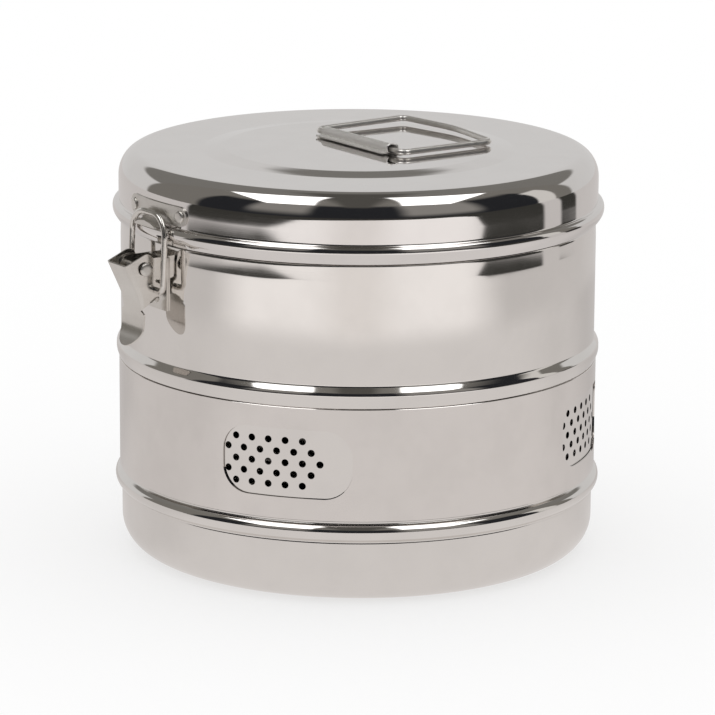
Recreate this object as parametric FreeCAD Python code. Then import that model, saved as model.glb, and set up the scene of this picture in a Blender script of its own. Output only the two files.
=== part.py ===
import FreeCAD, Part
import math
import os

from FreeCAD import Vector

# Stainless sterilizing drum: a round pot with a sliding vent band, a lift-off lid with a folding wire
# handle, and two toggle latches. Millimetres, +Z up, origin at the middle of the bottom.
# The latches stand on the X axis and the hinge strap of the handle lies along Y.

# Driving dimensions of the pot
BODY_RADIUS = 140.0
BODY_SHEET = 0.8
FOOT_RADIUS = 20.0
BOTTOM_RING_WIDTH = 14.0
BOTTOM_RECESS = 1.5
LOWER_BEAD_Z = 44.0
LOWER_BEAD_PROUD = 3.8
BAND_HEIGHT = 65.4
UPPER_BEAD_PROUD = 2.7
BEAD_HALF_HEIGHT = 5.8
WALL_TOP_Z = 198.0
NECK_INSET = 1.4
NECK_STEP_HEIGHT = 1.2
RIM_ROLL_RADIUS = 1.4

# Driving dimensions of the perforated patches
PATCH_COUNT = 4
PATCH_ANGLE = 34.0
HOLE_DIAMETER = 4.2
HOLE_PITCH = 10.15
ROW_PITCH = 6.5
HOLES_IN_ROWS = (5, 6, 7, 6, 5)

# Driving dimensions of the vent band
BAND_SHEET = 0.9
BAND_CLEARANCE = 0.35
BAND_END_CLEARANCE = 0.4
BAND_OPEN_ANGLE = 4.2
WINDOW_WIDTH = 78.0
WINDOW_HEIGHT = 40.0
WINDOW_CORNER = 16.0
SEAM_WIDTH = 12.0
SEAM_RIVET_RADIUS = 2.4
SEAM_RIVET_HEAD = 0.9
SEAM_RIVET_COUNT = 4

# Driving dimensions of the lid
LID_OVERHANG = 1.0
LID_SHEET = 0.7
LID_RISE = 40.0
LID_SHOULDER_RADIUS = 10.0
LID_CROWN = 0.6
LID_BEAD_LIFT = 7.3
LID_BEAD_PROUD = 3.6
LID_BEAD_HALF_HEIGHT = 5.6
LID_HEM = 0.6
DISC_RADIUS = 80.0
DISC_STEP_WIDTH = 5.0
DISC_STEP_HEIGHT = 1.5
RIM_TO_LID = 0.3

# Driving dimensions of the handle
BAIL_WIRE = 3.5
BAIL_WIDTH = 88.0
BAIL_CORNER_REACH = 64.0
BAIL_REACH = 70.0
BAIL_BEND = 5.0
BAIL_END_GAP = 4.0
BARREL_HEIGHT = 2.6
BARREL_CLEARANCE = 0.1
STRAP_SHEET = 0.8
STRAP_LENGTH = 68.0
STRAP_FLANGE = 4.6

# Driving dimensions of the latches
PIVOT_REACH = 14.6
PIVOT_DROP = 12.0
PIVOT_RADIUS = 2.0
PIVOT_HEAD_RADIUS = 3.9
PIVOT_HEAD_HEIGHT = 1.3
HEAD_CLEARANCE = 0.1
PIN_CLEARANCE = 0.08
LEVER_WIDTH = 26.6
LEVER_SHEET = 1.0
LEVER_TOP_REAR = (-3.0, 6.5)
LEVER_TOP_PEAK = (1.4, 9.2)
LEVER_TOP_FRONT = (12.4, 4.0)
LEVER_TOP_ROUNDING = (-0.7, 0.9)
LEVER_FACE = (LEVER_TOP_FRONT, (3.6, -17.0), (1.9, -27.0), (2.6, -36.0), (8.8, -44.8))
LEVER_FOOT_FRONT = (2.6, -24.2)
LOBE_RADIUS = 4.3
TAB_WIDTH = 23.0
TAB_SHOULDER_DROP = 25.5
LOOP_WIRE = 3.2
LOOP_LEG_SPACING = 34.0
BAR_ABOVE_HOOK = 6.0
LOOP_BEND = 12.5
LOOP_END_BEND = 3.2
LOOP_PIVOT_IN = 5.8
LOOP_PIVOT_DOWN = 13.0
LOOP_BAR_REACH = 6.3
LOOP_TIP_IN_FLANGE = 1.0
BRACKET_SHEET = 1.2
BRACKET_EAR_SPACING = 20.2
BRACKET_EAR_RADIUS = 5.5
BRACKET_EAR_HEIGHT = 13.5
BRACKET_BELOW_PIVOT = 26.0
BRACKET_ABOVE_PIVOT = 11.0
BRACKET_GAP = 0.05
BRACKET_RIVET_RADIUS = 2.6
BRACKET_RIVET_HEAD = 1.2
BRACKET_RIVET_DROPS = (20.0, 10.5)
CATCH_SHEET = 1.0
CATCH_HEIGHT = 11.3
CATCH_LIFT = 20.6
CATCH_RIVET_OFFSET = 26.5
CATCH_RIVET_RADIUS = 3.5
CATCH_RIVET_HEAD = 1.2
HOOK_SHEET = 0.9
HOOK_WIDTH = 23.6
HOOK_TONGUE_WIDTH = 22.0
HOOK_BAR_GAP = 0.25
HOOK_DROP = 8.1
HOOK_TONGUE_HEIGHT = 3.3
HOOK_ROOT_DEPTH = 0.15
HOOK_ROOT_BEND = (0.4, 0.3)
HOOK_FLOOR_BACK = 0.6
HOOK_TONGUE_BEND = 0.5
CATCH_GAP = 0.05
END_ROUND_MARGIN = 0.01

# Directions of a piece on the X axis: outwards from the drum, and across the latch
OUT = Vector(1, 0, 0)
ACROSS = Vector(0, 1, 0)

# Sizes that follow from the driving dimensions
BAND_Z0 = LOWER_BEAD_Z + BEAD_HALF_HEIGHT + BAND_END_CLEARANCE
BAND_Z1 = BAND_Z0 + BAND_HEIGHT
BAND_MID_Z = (BAND_Z0 + BAND_Z1) / 2
UPPER_BEAD_Z = BAND_Z1 + BAND_END_CLEARANCE + BEAD_HALF_HEIGHT
BAND_INNER = BODY_RADIUS + BAND_CLEARANCE
BAND_OUTER = BAND_INNER + BAND_SHEET
NECK_RADIUS = BODY_RADIUS - NECK_INSET
LID_RADIUS = BODY_RADIUS + LID_OVERHANG
LID_SHOULDER_Z = WALL_TOP_Z + LID_RISE
LID_BEAD_Z = WALL_TOP_Z + LID_BEAD_LIFT
LID_BOTTOM_Z = LID_BEAD_Z - LID_BEAD_HALF_HEIGHT - LID_HEM
SHOULDER_CENTRE_R = LID_RADIUS - LID_SHOULDER_RADIUS
SHOULDER_CENTRE_Z = LID_SHOULDER_Z - LID_SHOULDER_RADIUS
RIM_ROLL_R = NECK_RADIUS - BODY_SHEET / 4
RIM_REACH = LID_SHOULDER_RADIUS - LID_SHEET - RIM_ROLL_RADIUS - RIM_TO_LID
RIM_Z = SHOULDER_CENTRE_Z + math.sqrt(RIM_REACH ** 2 - (RIM_ROLL_R - SHOULDER_CENTRE_R) ** 2)
DISC_Z = LID_SHOULDER_Z + LID_CROWN + DISC_STEP_HEIGHT
PIVOT_X = BODY_RADIUS + PIVOT_REACH
PIVOT_Z = WALL_TOP_Z - PIVOT_DROP
LOOP_X = PIVOT_X - LOOP_PIVOT_IN
LOOP_Z = PIVOT_Z - LOOP_PIVOT_DOWN
BAR_X = BODY_RADIUS + LOOP_BAR_REACH
CATCH_Z = WALL_TOP_Z + CATCH_LIFT
HOOK_FLOOR_Z = CATCH_Z - HOOK_DROP
HOOK_TOP_Z = HOOK_FLOOR_Z + HOOK_TONGUE_HEIGHT
LOOP_HEIGHT = HOOK_FLOOR_Z + BAR_ABOVE_HOOK - LOOP_Z
BRACKET_RIVET_ZS = [PIVOT_Z - drop for drop in BRACKET_RIVET_DROPS]
BAR_LEAN = math.degrees(math.atan2(BAR_X - LOOP_X, LOOP_HEIGHT))


def export(shape, node):
    """Write one node; every solid in it is checked first."""
    for solid in shape.Solids:
        if not solid.isValid():
            raise ValueError(node + " has an invalid solid")
    shape.exportStep("parts/" + node + ".step")


def radial(radius, z):
    """Point in the half plane that is turned about the drum's axis."""
    return Vector(radius, 0, z)


def line(a, b):
    return Part.makeLine(a, b)


def arc(a, middle, b):
    return Part.Arc(a, middle, b).toShape()


def turned(edges, thickness):
    """Sheet of even thickness on the inner side of a profile, turned round the Z axis."""
    wire = Part.Wire(edges)
    strip = wire.makeOffset2D(thickness, 2, True, True, False)
    face = strip.Faces[0]
    return face.revolve(Vector(0, 0, 0), Vector(0, 0, 1), 360).Solids[0]


def bead_arc(radius, z, proud, half_height):
    """Outward bead on a wall of the given radius."""
    return arc(radial(radius, z - half_height), radial(radius + proud, z), radial(radius, z + half_height))


def around(shape, angle):
    """Copy of a shape turned about the drum's axis."""
    copy = shape.copy()
    copy.rotate(Vector(0, 0, 0), Vector(0, 0, 1), angle)
    return copy


def rod(start, axis, radius, length):
    return Part.makeCylinder(radius, length, start, axis)


def wire_rod(path, diameter, start, direction):
    """Round wire along a smooth path."""
    profile = Part.Wire(Part.makeCircle(diameter / 2, start, direction))
    return Part.Wire(path).makePipeShell([profile], True, False)


def hole_positions():
    """Angle and height of every hole of one patch, from its middle."""
    step = math.degrees(HOLE_PITCH / BODY_RADIUS)
    rows = len(HOLES_IN_ROWS)
    for row, count in enumerate(HOLES_IN_ROWS):
        z = BAND_MID_Z + ((rows - 1) / 2 - row) * ROW_PITCH
        for index in range(count):
            yield (index - (count - 1) / 2) * step, z


def make_drum_body():
    """Drawn pot with foot, beads, neck, rolled rim and the perforated patches."""
    ring_inner = BODY_RADIUS - FOOT_RADIUS - BOTTOM_RING_WIDTH
    slope_inner = ring_inner - 2 * BOTTOM_RECESS
    foot_mid = FOOT_RADIUS * (1 - math.sqrt(0.5))
    points = [radial(0, BOTTOM_RECESS), radial(slope_inner, BOTTOM_RECESS), radial(ring_inner, 0),
              radial(BODY_RADIUS - FOOT_RADIUS, 0)]
    edges = [line(a, b) for a, b in zip(points, points[1:])]
    edges.append(arc(points[-1], radial(BODY_RADIUS - foot_mid, foot_mid), radial(BODY_RADIUS, FOOT_RADIUS)))
    edges.append(line(radial(BODY_RADIUS, FOOT_RADIUS), radial(BODY_RADIUS, LOWER_BEAD_Z - BEAD_HALF_HEIGHT)))
    edges.append(bead_arc(BODY_RADIUS, LOWER_BEAD_Z, LOWER_BEAD_PROUD, BEAD_HALF_HEIGHT))
    edges.append(line(radial(BODY_RADIUS, LOWER_BEAD_Z + BEAD_HALF_HEIGHT),
                      radial(BODY_RADIUS, UPPER_BEAD_Z - BEAD_HALF_HEIGHT)))
    edges.append(bead_arc(BODY_RADIUS, UPPER_BEAD_Z, UPPER_BEAD_PROUD, BEAD_HALF_HEIGHT))
    edges.append(line(radial(BODY_RADIUS, UPPER_BEAD_Z + BEAD_HALF_HEIGHT), radial(BODY_RADIUS, WALL_TOP_Z)))
    edges.append(line(radial(BODY_RADIUS, WALL_TOP_Z), radial(NECK_RADIUS, WALL_TOP_Z + NECK_STEP_HEIGHT)))
    edges.append(line(radial(NECK_RADIUS, WALL_TOP_Z + NECK_STEP_HEIGHT), radial(NECK_RADIUS, RIM_Z)))
    shell = turned(edges, BODY_SHEET)
    rim = Part.makeTorus(RIM_ROLL_R, RIM_ROLL_RADIUS, Vector(0, 0, RIM_Z))
    drills = []
    for patch in range(PATCH_COUNT):
        for angle, z in hole_positions():
            turn = PATCH_ANGLE + 360.0 * patch / PATCH_COUNT + angle
            drill = rod(Vector(BODY_RADIUS - 3 * BODY_SHEET, 0, z), OUT, HOLE_DIAMETER / 2,
                        6 * BODY_SHEET)
            drills.append(around(drill, turn))
    return shell.fuse(rim).cut(drills)


def rounded_window(width, height, corner, depth, centre_x, centre_z):
    """Block with rounded corners that is pushed outwards through a wall on the X axis."""
    block = Part.makeBox(depth, width, height, Vector(centre_x, -width / 2, centre_z - height / 2))
    along_x = [edge for edge in block.Edges
               if abs(edge.tangentAt(edge.FirstParameter).x) > 0.9]
    return block.makeFillet(corner, along_x)


def seam_rivet_zs():
    """Heights of the seam rivets, spread evenly over the band."""
    pitch = BAND_HEIGHT / SEAM_RIVET_COUNT
    return [BAND_Z0 + (index + 0.5) * pitch for index in range(SEAM_RIVET_COUNT)]


def seam_angle():
    """The seam lies midway between two windows, at the back."""
    return PATCH_ANGLE + BAND_OPEN_ANGLE + 180.0 / PATCH_COUNT


def make_vent_band():
    """Loose ring with its windows and a lapped seam."""
    ring = Part.makeCylinder(BAND_OUTER, BAND_HEIGHT, Vector(0, 0, BAND_Z0))
    ring = ring.cut(Part.makeCylinder(BAND_INNER, BAND_HEIGHT, Vector(0, 0, BAND_Z0)))
    lap_angle = math.degrees(SEAM_WIDTH / BAND_OUTER)
    lap = Part.makeCylinder(BAND_OUTER + BAND_SHEET, BAND_HEIGHT, Vector(0, 0, BAND_Z0), Vector(0, 0, 1),
                            lap_angle)
    lap = lap.cut(Part.makeCylinder(BAND_INNER + BAND_SHEET / 2, BAND_HEIGHT, Vector(0, 0, BAND_Z0)))
    ring = ring.fuse(around(lap, seam_angle() - lap_angle / 2))
    tools = []
    for window in range(PATCH_COUNT):
        block = rounded_window(WINDOW_WIDTH, WINDOW_HEIGHT, WINDOW_CORNER, 4 * WINDOW_CORNER,
                               BAND_INNER - 2 * WINDOW_CORNER, BAND_MID_Z)
        tools.append(around(block, PATCH_ANGLE + BAND_OPEN_ANGLE + 360.0 * window / PATCH_COUNT))
    for z in seam_rivet_zs():
        hole = rod(Vector(BAND_INNER - BAND_SHEET, 0, z), OUT, SEAM_RIVET_RADIUS / 2, 4 * BAND_SHEET)
        tools.append(around(hole, seam_angle()))
    return ring.cut(tools)


def make_seam_rivets():
    """Small flat rivets that close the band."""
    rivets = []
    seat = BAND_OUTER + BAND_SHEET
    for z in seam_rivet_zs():
        shank = rod(Vector(BAND_INNER + BAND_SHEET / 4, 0, z), OUT, SEAM_RIVET_RADIUS / 2,
                    seat - BAND_INNER)
        head = rod(Vector(seat, 0, z), OUT, SEAM_RIVET_RADIUS, SEAM_RIVET_HEAD)
        rivets.append(around(shank.fuse(head), seam_angle()))
    return Part.makeCompound(rivets)


def make_lid():
    """Drawn lid: hem, bead, skirt, rounded shoulder, slightly crowned top and a raised disc."""
    bead_low = LID_BEAD_Z - LID_BEAD_HALF_HEIGHT
    bead_high = LID_BEAD_Z + LID_BEAD_HALF_HEIGHT
    diagonal = LID_SHOULDER_RADIUS * math.sqrt(0.5)
    step_foot = DISC_RADIUS + DISC_STEP_WIDTH
    crown_z = LID_SHOULDER_Z + LID_CROWN
    edges = [line(radial(LID_RADIUS, LID_BOTTOM_Z), radial(LID_RADIUS, bead_low)),
             bead_arc(LID_RADIUS, LID_BEAD_Z, LID_BEAD_PROUD, LID_BEAD_HALF_HEIGHT),
             line(radial(LID_RADIUS, bead_high), radial(LID_RADIUS, SHOULDER_CENTRE_Z)),
             arc(radial(LID_RADIUS, SHOULDER_CENTRE_Z),
                 radial(SHOULDER_CENTRE_R + diagonal, SHOULDER_CENTRE_Z + diagonal),
                 radial(SHOULDER_CENTRE_R, LID_SHOULDER_Z)),
             line(radial(SHOULDER_CENTRE_R, LID_SHOULDER_Z), radial(step_foot, crown_z)),
             line(radial(step_foot, crown_z), radial(DISC_RADIUS, DISC_Z)),
             line(radial(DISC_RADIUS, DISC_Z), radial(0, DISC_Z))]
    return turned(edges, LID_SHEET)


def make_handle_strap():
    """Folded strip along Y: a half-round barrel over the wire, with a flange on each side."""
    inner = BAIL_WIRE / 2 + BARREL_CLEARANCE
    outer = inner + STRAP_SHEET
    y0 = -STRAP_LENGTH / 2
    axis_z = DISC_Z + BARREL_HEIGHT
    barrel = rod(Vector(0, y0, axis_z), ACROSS, outer, STRAP_LENGTH)
    skirt = Part.makeBox(2 * outer, STRAP_LENGTH, BARREL_HEIGHT, Vector(-outer, y0, DISC_Z))
    width = 2 * (outer + STRAP_FLANGE)
    flange = Part.makeBox(width, STRAP_LENGTH, STRAP_SHEET, Vector(-width / 2, y0, DISC_Z))
    bore = rod(Vector(0, y0, axis_z), ACROSS, inner, STRAP_LENGTH)
    slot = Part.makeBox(2 * inner, STRAP_LENGTH, BARREL_HEIGHT, Vector(-inner, y0, DISC_Z))
    strap = barrel.fuse([skirt, flange]).cut([bore, slot])
    below = Part.makeBox(width, STRAP_LENGTH, outer, Vector(-width / 2, y0, DISC_Z - outer))
    return strap.cut(below)


def bail_half(sign):
    """Edges of one half of the bail, from its end in the barrel to the middle of the grip."""
    z = DISC_Z + BARREL_HEIGHT
    half = BAIL_WIDTH / 2
    r = BAIL_BEND
    near_mid = r * (1 - math.sqrt(0.5))

    def at(x, y):
        return Vector(x, sign * y, z)

    slope = math.atan2(BAIL_REACH - BAIL_CORNER_REACH, half)
    turn = math.pi / 2 - slope
    # The grip is straight on each half and leans outwards; its corner arc is tangent to arm and grip.
    reach = r * math.tan(turn / 2)
    corner_start = at(BAIL_CORNER_REACH - reach, half)
    corner_end = at(BAIL_CORNER_REACH + reach * math.sin(slope), half - reach * math.cos(slope))
    centre = at(BAIL_CORNER_REACH - reach, half - r)
    mid_angle = math.pi / 2 - turn / 2
    corner_mid = centre + Vector(r * math.cos(mid_angle), sign * r * math.sin(mid_angle), 0)
    grip_r = BAIL_WIDTH
    grip_cut = grip_r * math.tan(slope)
    grip_start = at(BAIL_REACH - grip_cut * math.sin(slope), grip_cut * math.cos(slope))
    grip_mid_x = BAIL_REACH - grip_r * (1 / math.cos(slope) - 1)
    grip_mid = at(grip_mid_x, 0)
    half_angle = slope / 2
    grip_centre_x = grip_mid_x - grip_r
    grip_between = at(grip_centre_x + grip_r * math.cos(half_angle), grip_r * math.sin(half_angle))
    return [line(at(0, BAIL_END_GAP / 2), at(0, half - r)),
            arc(at(0, half - r), at(near_mid, half - near_mid), at(r, half)),
            line(at(r, half), corner_start),
            arc(corner_start, corner_mid, corner_end),
            line(corner_end, grip_start),
            arc(grip_start, grip_between, grip_mid)]


def make_handle_bail():
    """Bent wire handle, lying flat towards +X."""
    first = bail_half(1)
    second = bail_half(-1)
    path = first + second[::-1]
    start = Vector(0, BAIL_END_GAP / 2, DISC_Z + BARREL_HEIGHT)
    return wire_rod(path, BAIL_WIRE, start, ACROSS)


def at_pivot(offset):
    """Point in the X-Z plane of the latch, from its offset to the lever's pivot."""
    return Vector(PIVOT_X + offset[0], 0, PIVOT_Z + offset[1])


def centred_prism(face, width):
    """Face in the X-Z plane made into a solid, centred on Y."""
    face.translate(Vector(0, -width / 2, 0))
    return face.extrude(Vector(0, width, 0))


def lever_flange_face():
    """Side outline of the lever, with the round lobe that holds the wire loop."""
    lobe = Vector(LOOP_X, 0, LOOP_Z)
    rear = at_pivot(LEVER_TOP_REAR)
    peak = at_pivot(LEVER_TOP_PEAK)
    aside, above = LEVER_TOP_ROUNDING
    blend = Vector((rear.x + peak.x) / 2 + aside, 0, (rear.z + peak.z) / 2 + above)
    outline = [line(peak, at_pivot(LEVER_TOP_FRONT)),
               line(at_pivot(LEVER_TOP_FRONT), at_pivot(LEVER_FACE[1])),
               line(at_pivot(LEVER_FACE[1]), at_pivot(LEVER_FOOT_FRONT)),
               line(at_pivot(LEVER_FOOT_FRONT), Vector(LOOP_X, 0, LOOP_Z - LOBE_RADIUS)),
               line(Vector(LOOP_X, 0, LOOP_Z - LOBE_RADIUS), Vector(rear.x, 0, LOOP_Z)),
               line(Vector(rear.x, 0, LOOP_Z), rear),
               arc(rear, blend, peak)]
    flange = Part.Face(Part.Wire(outline))
    disc = Part.Face(Part.Wire(Part.makeCircle(LOBE_RADIUS, lobe, ACROSS)))
    return flange.fuse(disc).removeSplitter().Faces[0]


def make_lever():
    """Folded lever: front face with a flared finger tab, and a flange on each side."""
    curve = Part.BSplineCurve()
    curve.interpolate([at_pivot(point) for point in LEVER_FACE[1:]])
    top = at_pivot(LEVER_FACE[0])
    knee = at_pivot(LEVER_FACE[1])
    tip = at_pivot(LEVER_FACE[-1])
    back = Vector(-LEVER_SHEET, 0, 0)
    outer_curve = curve.toShape()
    inner_curve = outer_curve.copy()
    inner_curve.translate(back)
    outline = Part.Wire([line(top, knee), outer_curve, line(tip, tip + back), inner_curve,
                         line(knee + back, top + back), line(top + back, top)])
    web = centred_prism(Part.Face(outline), LEVER_WIDTH)
    shoulder_z = PIVOT_Z - TAB_SHOULDER_DROP
    half_tab = TAB_WIDTH / 2
    tip_z = tip.z
    reach = 2 * LEVER_WIDTH
    keep_high = Part.makeBox(reach, LEVER_WIDTH, reach,
                             Vector(PIVOT_X - LEVER_WIDTH, -LEVER_WIDTH / 2, shoulder_z))
    tab = Part.Wire([line(Vector(0, half_tab, shoulder_z), Vector(0, half_tab, tip_z + half_tab)),
                     arc(Vector(0, half_tab, tip_z + half_tab), Vector(0, 0, tip_z),
                         Vector(0, -half_tab, tip_z + half_tab)),
                     line(Vector(0, -half_tab, tip_z + half_tab), Vector(0, -half_tab, shoulder_z)),
                     line(Vector(0, -half_tab, shoulder_z), Vector(0, half_tab, shoulder_z))])
    keep_tab = Part.Face(tab)
    keep_tab.translate(Vector(PIVOT_X - LEVER_WIDTH, 0, 0))
    keep_tab = keep_tab.extrude(Vector(reach, 0, 0))
    web = web.common(keep_high.fuse(keep_tab))
    flanges = []
    for side in (-1, 1):
        face = lever_flange_face()
        face.translate(Vector(0, side * (LEVER_WIDTH - LEVER_SHEET) / 2, 0))
        face.translate(Vector(0, -LEVER_SHEET / 2, 0))
        flanges.append(face.extrude(Vector(0, LEVER_SHEET, 0)))
    start_y = -LEVER_WIDTH
    pivot_hole = rod(Vector(PIVOT_X, start_y, PIVOT_Z), ACROSS, PIVOT_RADIUS + PIN_CLEARANCE, 2 * LEVER_WIDTH)
    loop_hole = rod(Vector(LOOP_X, start_y, LOOP_Z), ACROSS, LOOP_WIRE / 2 + PIN_CLEARANCE, 2 * LEVER_WIDTH)
    return web.fuse(flanges).cut([pivot_hole, loop_hole]).removeSplitter()


def make_lever_pivot():
    """Rivet pin through lever and bracket, with a head on each side."""
    half = LEVER_WIDTH / 2 + HEAD_CLEARANCE
    pin = rod(Vector(PIVOT_X, -half, PIVOT_Z), ACROSS, PIVOT_RADIUS, 2 * half)
    heads = []
    for y in (-half - PIVOT_HEAD_HEIGHT, half):
        heads.append(rod(Vector(PIVOT_X, y, PIVOT_Z), ACROSS, PIVOT_HEAD_RADIUS, PIVOT_HEAD_HEIGHT))
    return pin.fuse(heads)


def make_wire_loop():
    """Bent wire with an arched top; its ends turn in through the lever's lobes."""
    half = LOOP_LEG_SPACING / 2
    tip = LEVER_WIDTH / 2 - LEVER_SHEET - LOOP_TIP_IN_FLANGE
    z0 = LOOP_Z
    z1 = LOOP_Z + LOOP_HEIGHT
    e = LOOP_END_BEND
    r = LOOP_BEND
    e_mid = e * (1 - math.sqrt(0.5))
    r_mid = r * (1 - math.sqrt(0.5))

    def at(y, z):
        return Vector(LOOP_X, y, z)

    path = [line(at(tip, z0), at(half - e, z0)),
            arc(at(half - e, z0), at(half - e_mid, z0 + e_mid), at(half, z0 + e)),
            line(at(half, z0 + e), at(half, z1 - r)),
            arc(at(half, z1 - r), at(half - r_mid, z1 - r_mid), at(half - r, z1)),
            line(at(half - r, z1), at(r - half, z1)),
            arc(at(r - half, z1), at(r_mid - half, z1 - r_mid), at(-half, z1 - r)),
            line(at(-half, z1 - r), at(-half, z0 + e)),
            arc(at(-half, z0 + e), at(e_mid - half, z0 + e_mid), at(e - half, z0)),
            line(at(e - half, z0), at(-tip, z0))]
    loop = wire_rod(path, LOOP_WIRE, at(tip, z0), ACROSS)
    loop.rotate(Vector(LOOP_X, 0, LOOP_Z), ACROSS, BAR_LEAN)
    return loop


def wall_patch(inner, thickness, width, z0, z1):
    """Piece of a round wall on the X axis, cut straight at its sides."""
    height = z1 - z0
    ring = Part.makeCylinder(inner + thickness, height, Vector(0, 0, z0))
    ring = ring.cut(Part.makeCylinder(inner, height, Vector(0, 0, z0)))
    block = Part.makeBox(inner, width, height, Vector(inner / 2, -width / 2, z0))
    return ring.common(block)


def make_bracket():
    """Folded bracket on the wall, with two ears that carry the pivot pin."""
    inner = BODY_RADIUS + BRACKET_GAP
    width = BRACKET_EAR_SPACING + BRACKET_SHEET
    plate = wall_patch(inner, BRACKET_SHEET, width, PIVOT_Z - BRACKET_BELOW_PIVOT,
                       PIVOT_Z + BRACKET_ABOVE_PIVOT)
    ears = []
    for side in (-1, 1):
        y = side * BRACKET_EAR_SPACING / 2 - BRACKET_SHEET / 2
        arm_foot = Vector(inner + BRACKET_SHEET / 4, y, PIVOT_Z + BRACKET_EAR_RADIUS - BRACKET_EAR_HEIGHT)
        arm = Part.makeBox(PIVOT_X - arm_foot.x, BRACKET_SHEET, BRACKET_EAR_HEIGHT, arm_foot)
        end = rod(Vector(PIVOT_X, y, PIVOT_Z), ACROSS, BRACKET_EAR_RADIUS, BRACKET_SHEET)
        ears += [arm, end]
    bracket = plate.fuse(ears)
    pin_hole = rod(Vector(PIVOT_X, -width, PIVOT_Z), ACROSS, PIVOT_RADIUS + PIN_CLEARANCE, 2 * width)
    rivet_holes = []
    for z in BRACKET_RIVET_ZS:
        rivet_holes.append(rod(Vector(inner - BRACKET_SHEET, 0, z), OUT, BRACKET_RIVET_RADIUS / 2,
                               4 * BRACKET_SHEET))
    return bracket.cut([pin_hole] + rivet_holes).removeSplitter()


def make_bracket_rivets():
    """Two rivets of the bracket, whose shanks end in its plate."""
    rivets = []
    seat = BODY_RADIUS + BRACKET_GAP + BRACKET_SHEET
    for z in BRACKET_RIVET_ZS:
        shank = rod(Vector(seat - BRACKET_SHEET, 0, z), OUT, BRACKET_RIVET_RADIUS / 2, BRACKET_SHEET)
        head = rod(Vector(seat, 0, z), OUT, BRACKET_RIVET_RADIUS, BRACKET_RIVET_HEAD)
        rivets.append(shank.fuse(head))
    return Part.makeCompound(rivets)


def strip_face(points, thickness):
    """Flat outline of a bent strip: its middle line, widened to the sheet's thickness."""
    line_points = [Vector(x, 0, z) for x, z in points]
    steps = [(b - a).normalize() for a, b in zip(line_points, line_points[1:])]
    left = []
    right = []
    for point, came, goes in zip(line_points, steps[:1] + steps, steps + steps[-1:]):
        normal = Vector(-came.z - goes.z, 0, came.x + goes.x).normalize()
        widen = thickness / 2 / normal.dot(Vector(-came.z, 0, came.x))
        left.append(point + normal * widen)
        right.append(point - normal * widen)
    corners = left + right[::-1]
    return Part.Face(Part.makePolygon(corners + corners[:1]))


def make_lid_catch():
    """Strap on the lid's skirt with a hooked tongue that stands in front of the wire."""
    inner = LID_RADIUS + CATCH_GAP
    length = 2 * CATCH_RIVET_OFFSET + CATCH_HEIGHT
    z0 = CATCH_Z - CATCH_HEIGHT / 2
    strap = wall_patch(inner, CATCH_SHEET, length, z0, z0 + CATCH_HEIGHT)
    end_round = CATCH_HEIGHT / 2 - END_ROUND_MARGIN
    outline = rounded_window(length, CATCH_HEIGHT, end_round, inner, inner / 2, CATCH_Z)
    strap = strap.common(outline)
    root_x = inner + CATCH_SHEET - HOOK_ROOT_DEPTH
    root_out, root_down = HOOK_ROOT_BEND
    tongue_x = BAR_X + LOOP_WIRE / 2 + HOOK_BAR_GAP + HOOK_SHEET / 2
    floor = HOOK_FLOOR_Z
    middle_line = ((root_x, z0 + CATCH_SHEET), (root_x + root_out, z0 - root_down),
                   (BAR_X - HOOK_FLOOR_BACK, floor), (tongue_x - HOOK_TONGUE_BEND, floor),
                   (tongue_x, HOOK_TOP_Z))
    hook = centred_prism(strip_face(middle_line, HOOK_SHEET), HOOK_WIDTH)
    half = HOOK_TONGUE_WIDTH / 2
    low = floor - HOOK_SHEET
    dome = Part.Wire([arc(Vector(0, half, floor), Vector(0, 0, HOOK_TOP_Z), Vector(0, -half, floor)),
                      line(Vector(0, -half, floor), Vector(0, -half, low)),
                      line(Vector(0, -half, low), Vector(0, half, low)),
                      line(Vector(0, half, low), Vector(0, half, floor))])
    dome = Part.Face(dome)
    dome.translate(Vector(tongue_x - HOOK_SHEET, 0, 0))
    dome = dome.extrude(Vector(3 * HOOK_SHEET, 0, 0))
    behind = Part.makeBox(tongue_x - HOOK_SHEET - inner + CATCH_HEIGHT, HOOK_WIDTH, 2 * CATCH_HEIGHT,
                          Vector(inner - CATCH_HEIGHT, -HOOK_WIDTH / 2, floor - CATCH_HEIGHT))
    hook = hook.common(dome.fuse(behind))
    holes = []
    turn = math.degrees(CATCH_RIVET_OFFSET / LID_RADIUS)
    for side in (-1, 1):
        hole = rod(Vector(inner - CATCH_SHEET, 0, CATCH_Z), OUT, CATCH_RIVET_RADIUS / 2,
                   4 * CATCH_SHEET)
        holes.append(around(hole, side * turn))
    return strap.fuse(hook).cut(holes).removeSplitter()


def make_catch_rivets():
    """Two rivets of the strap, whose shanks end in it."""
    rivets = []
    seat = LID_RADIUS + CATCH_GAP + CATCH_SHEET
    turn = math.degrees(CATCH_RIVET_OFFSET / LID_RADIUS)
    for side in (-1, 1):
        shank = rod(Vector(seat - CATCH_SHEET, 0, CATCH_Z), OUT, CATCH_RIVET_RADIUS / 2, CATCH_SHEET)
        head = rod(Vector(seat, 0, CATCH_Z), OUT, CATCH_RIVET_RADIUS, CATCH_RIVET_HEAD)
        rivets.append(around(shank.fuse(head), side * turn))
    return Part.makeCompound(rivets)


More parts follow.
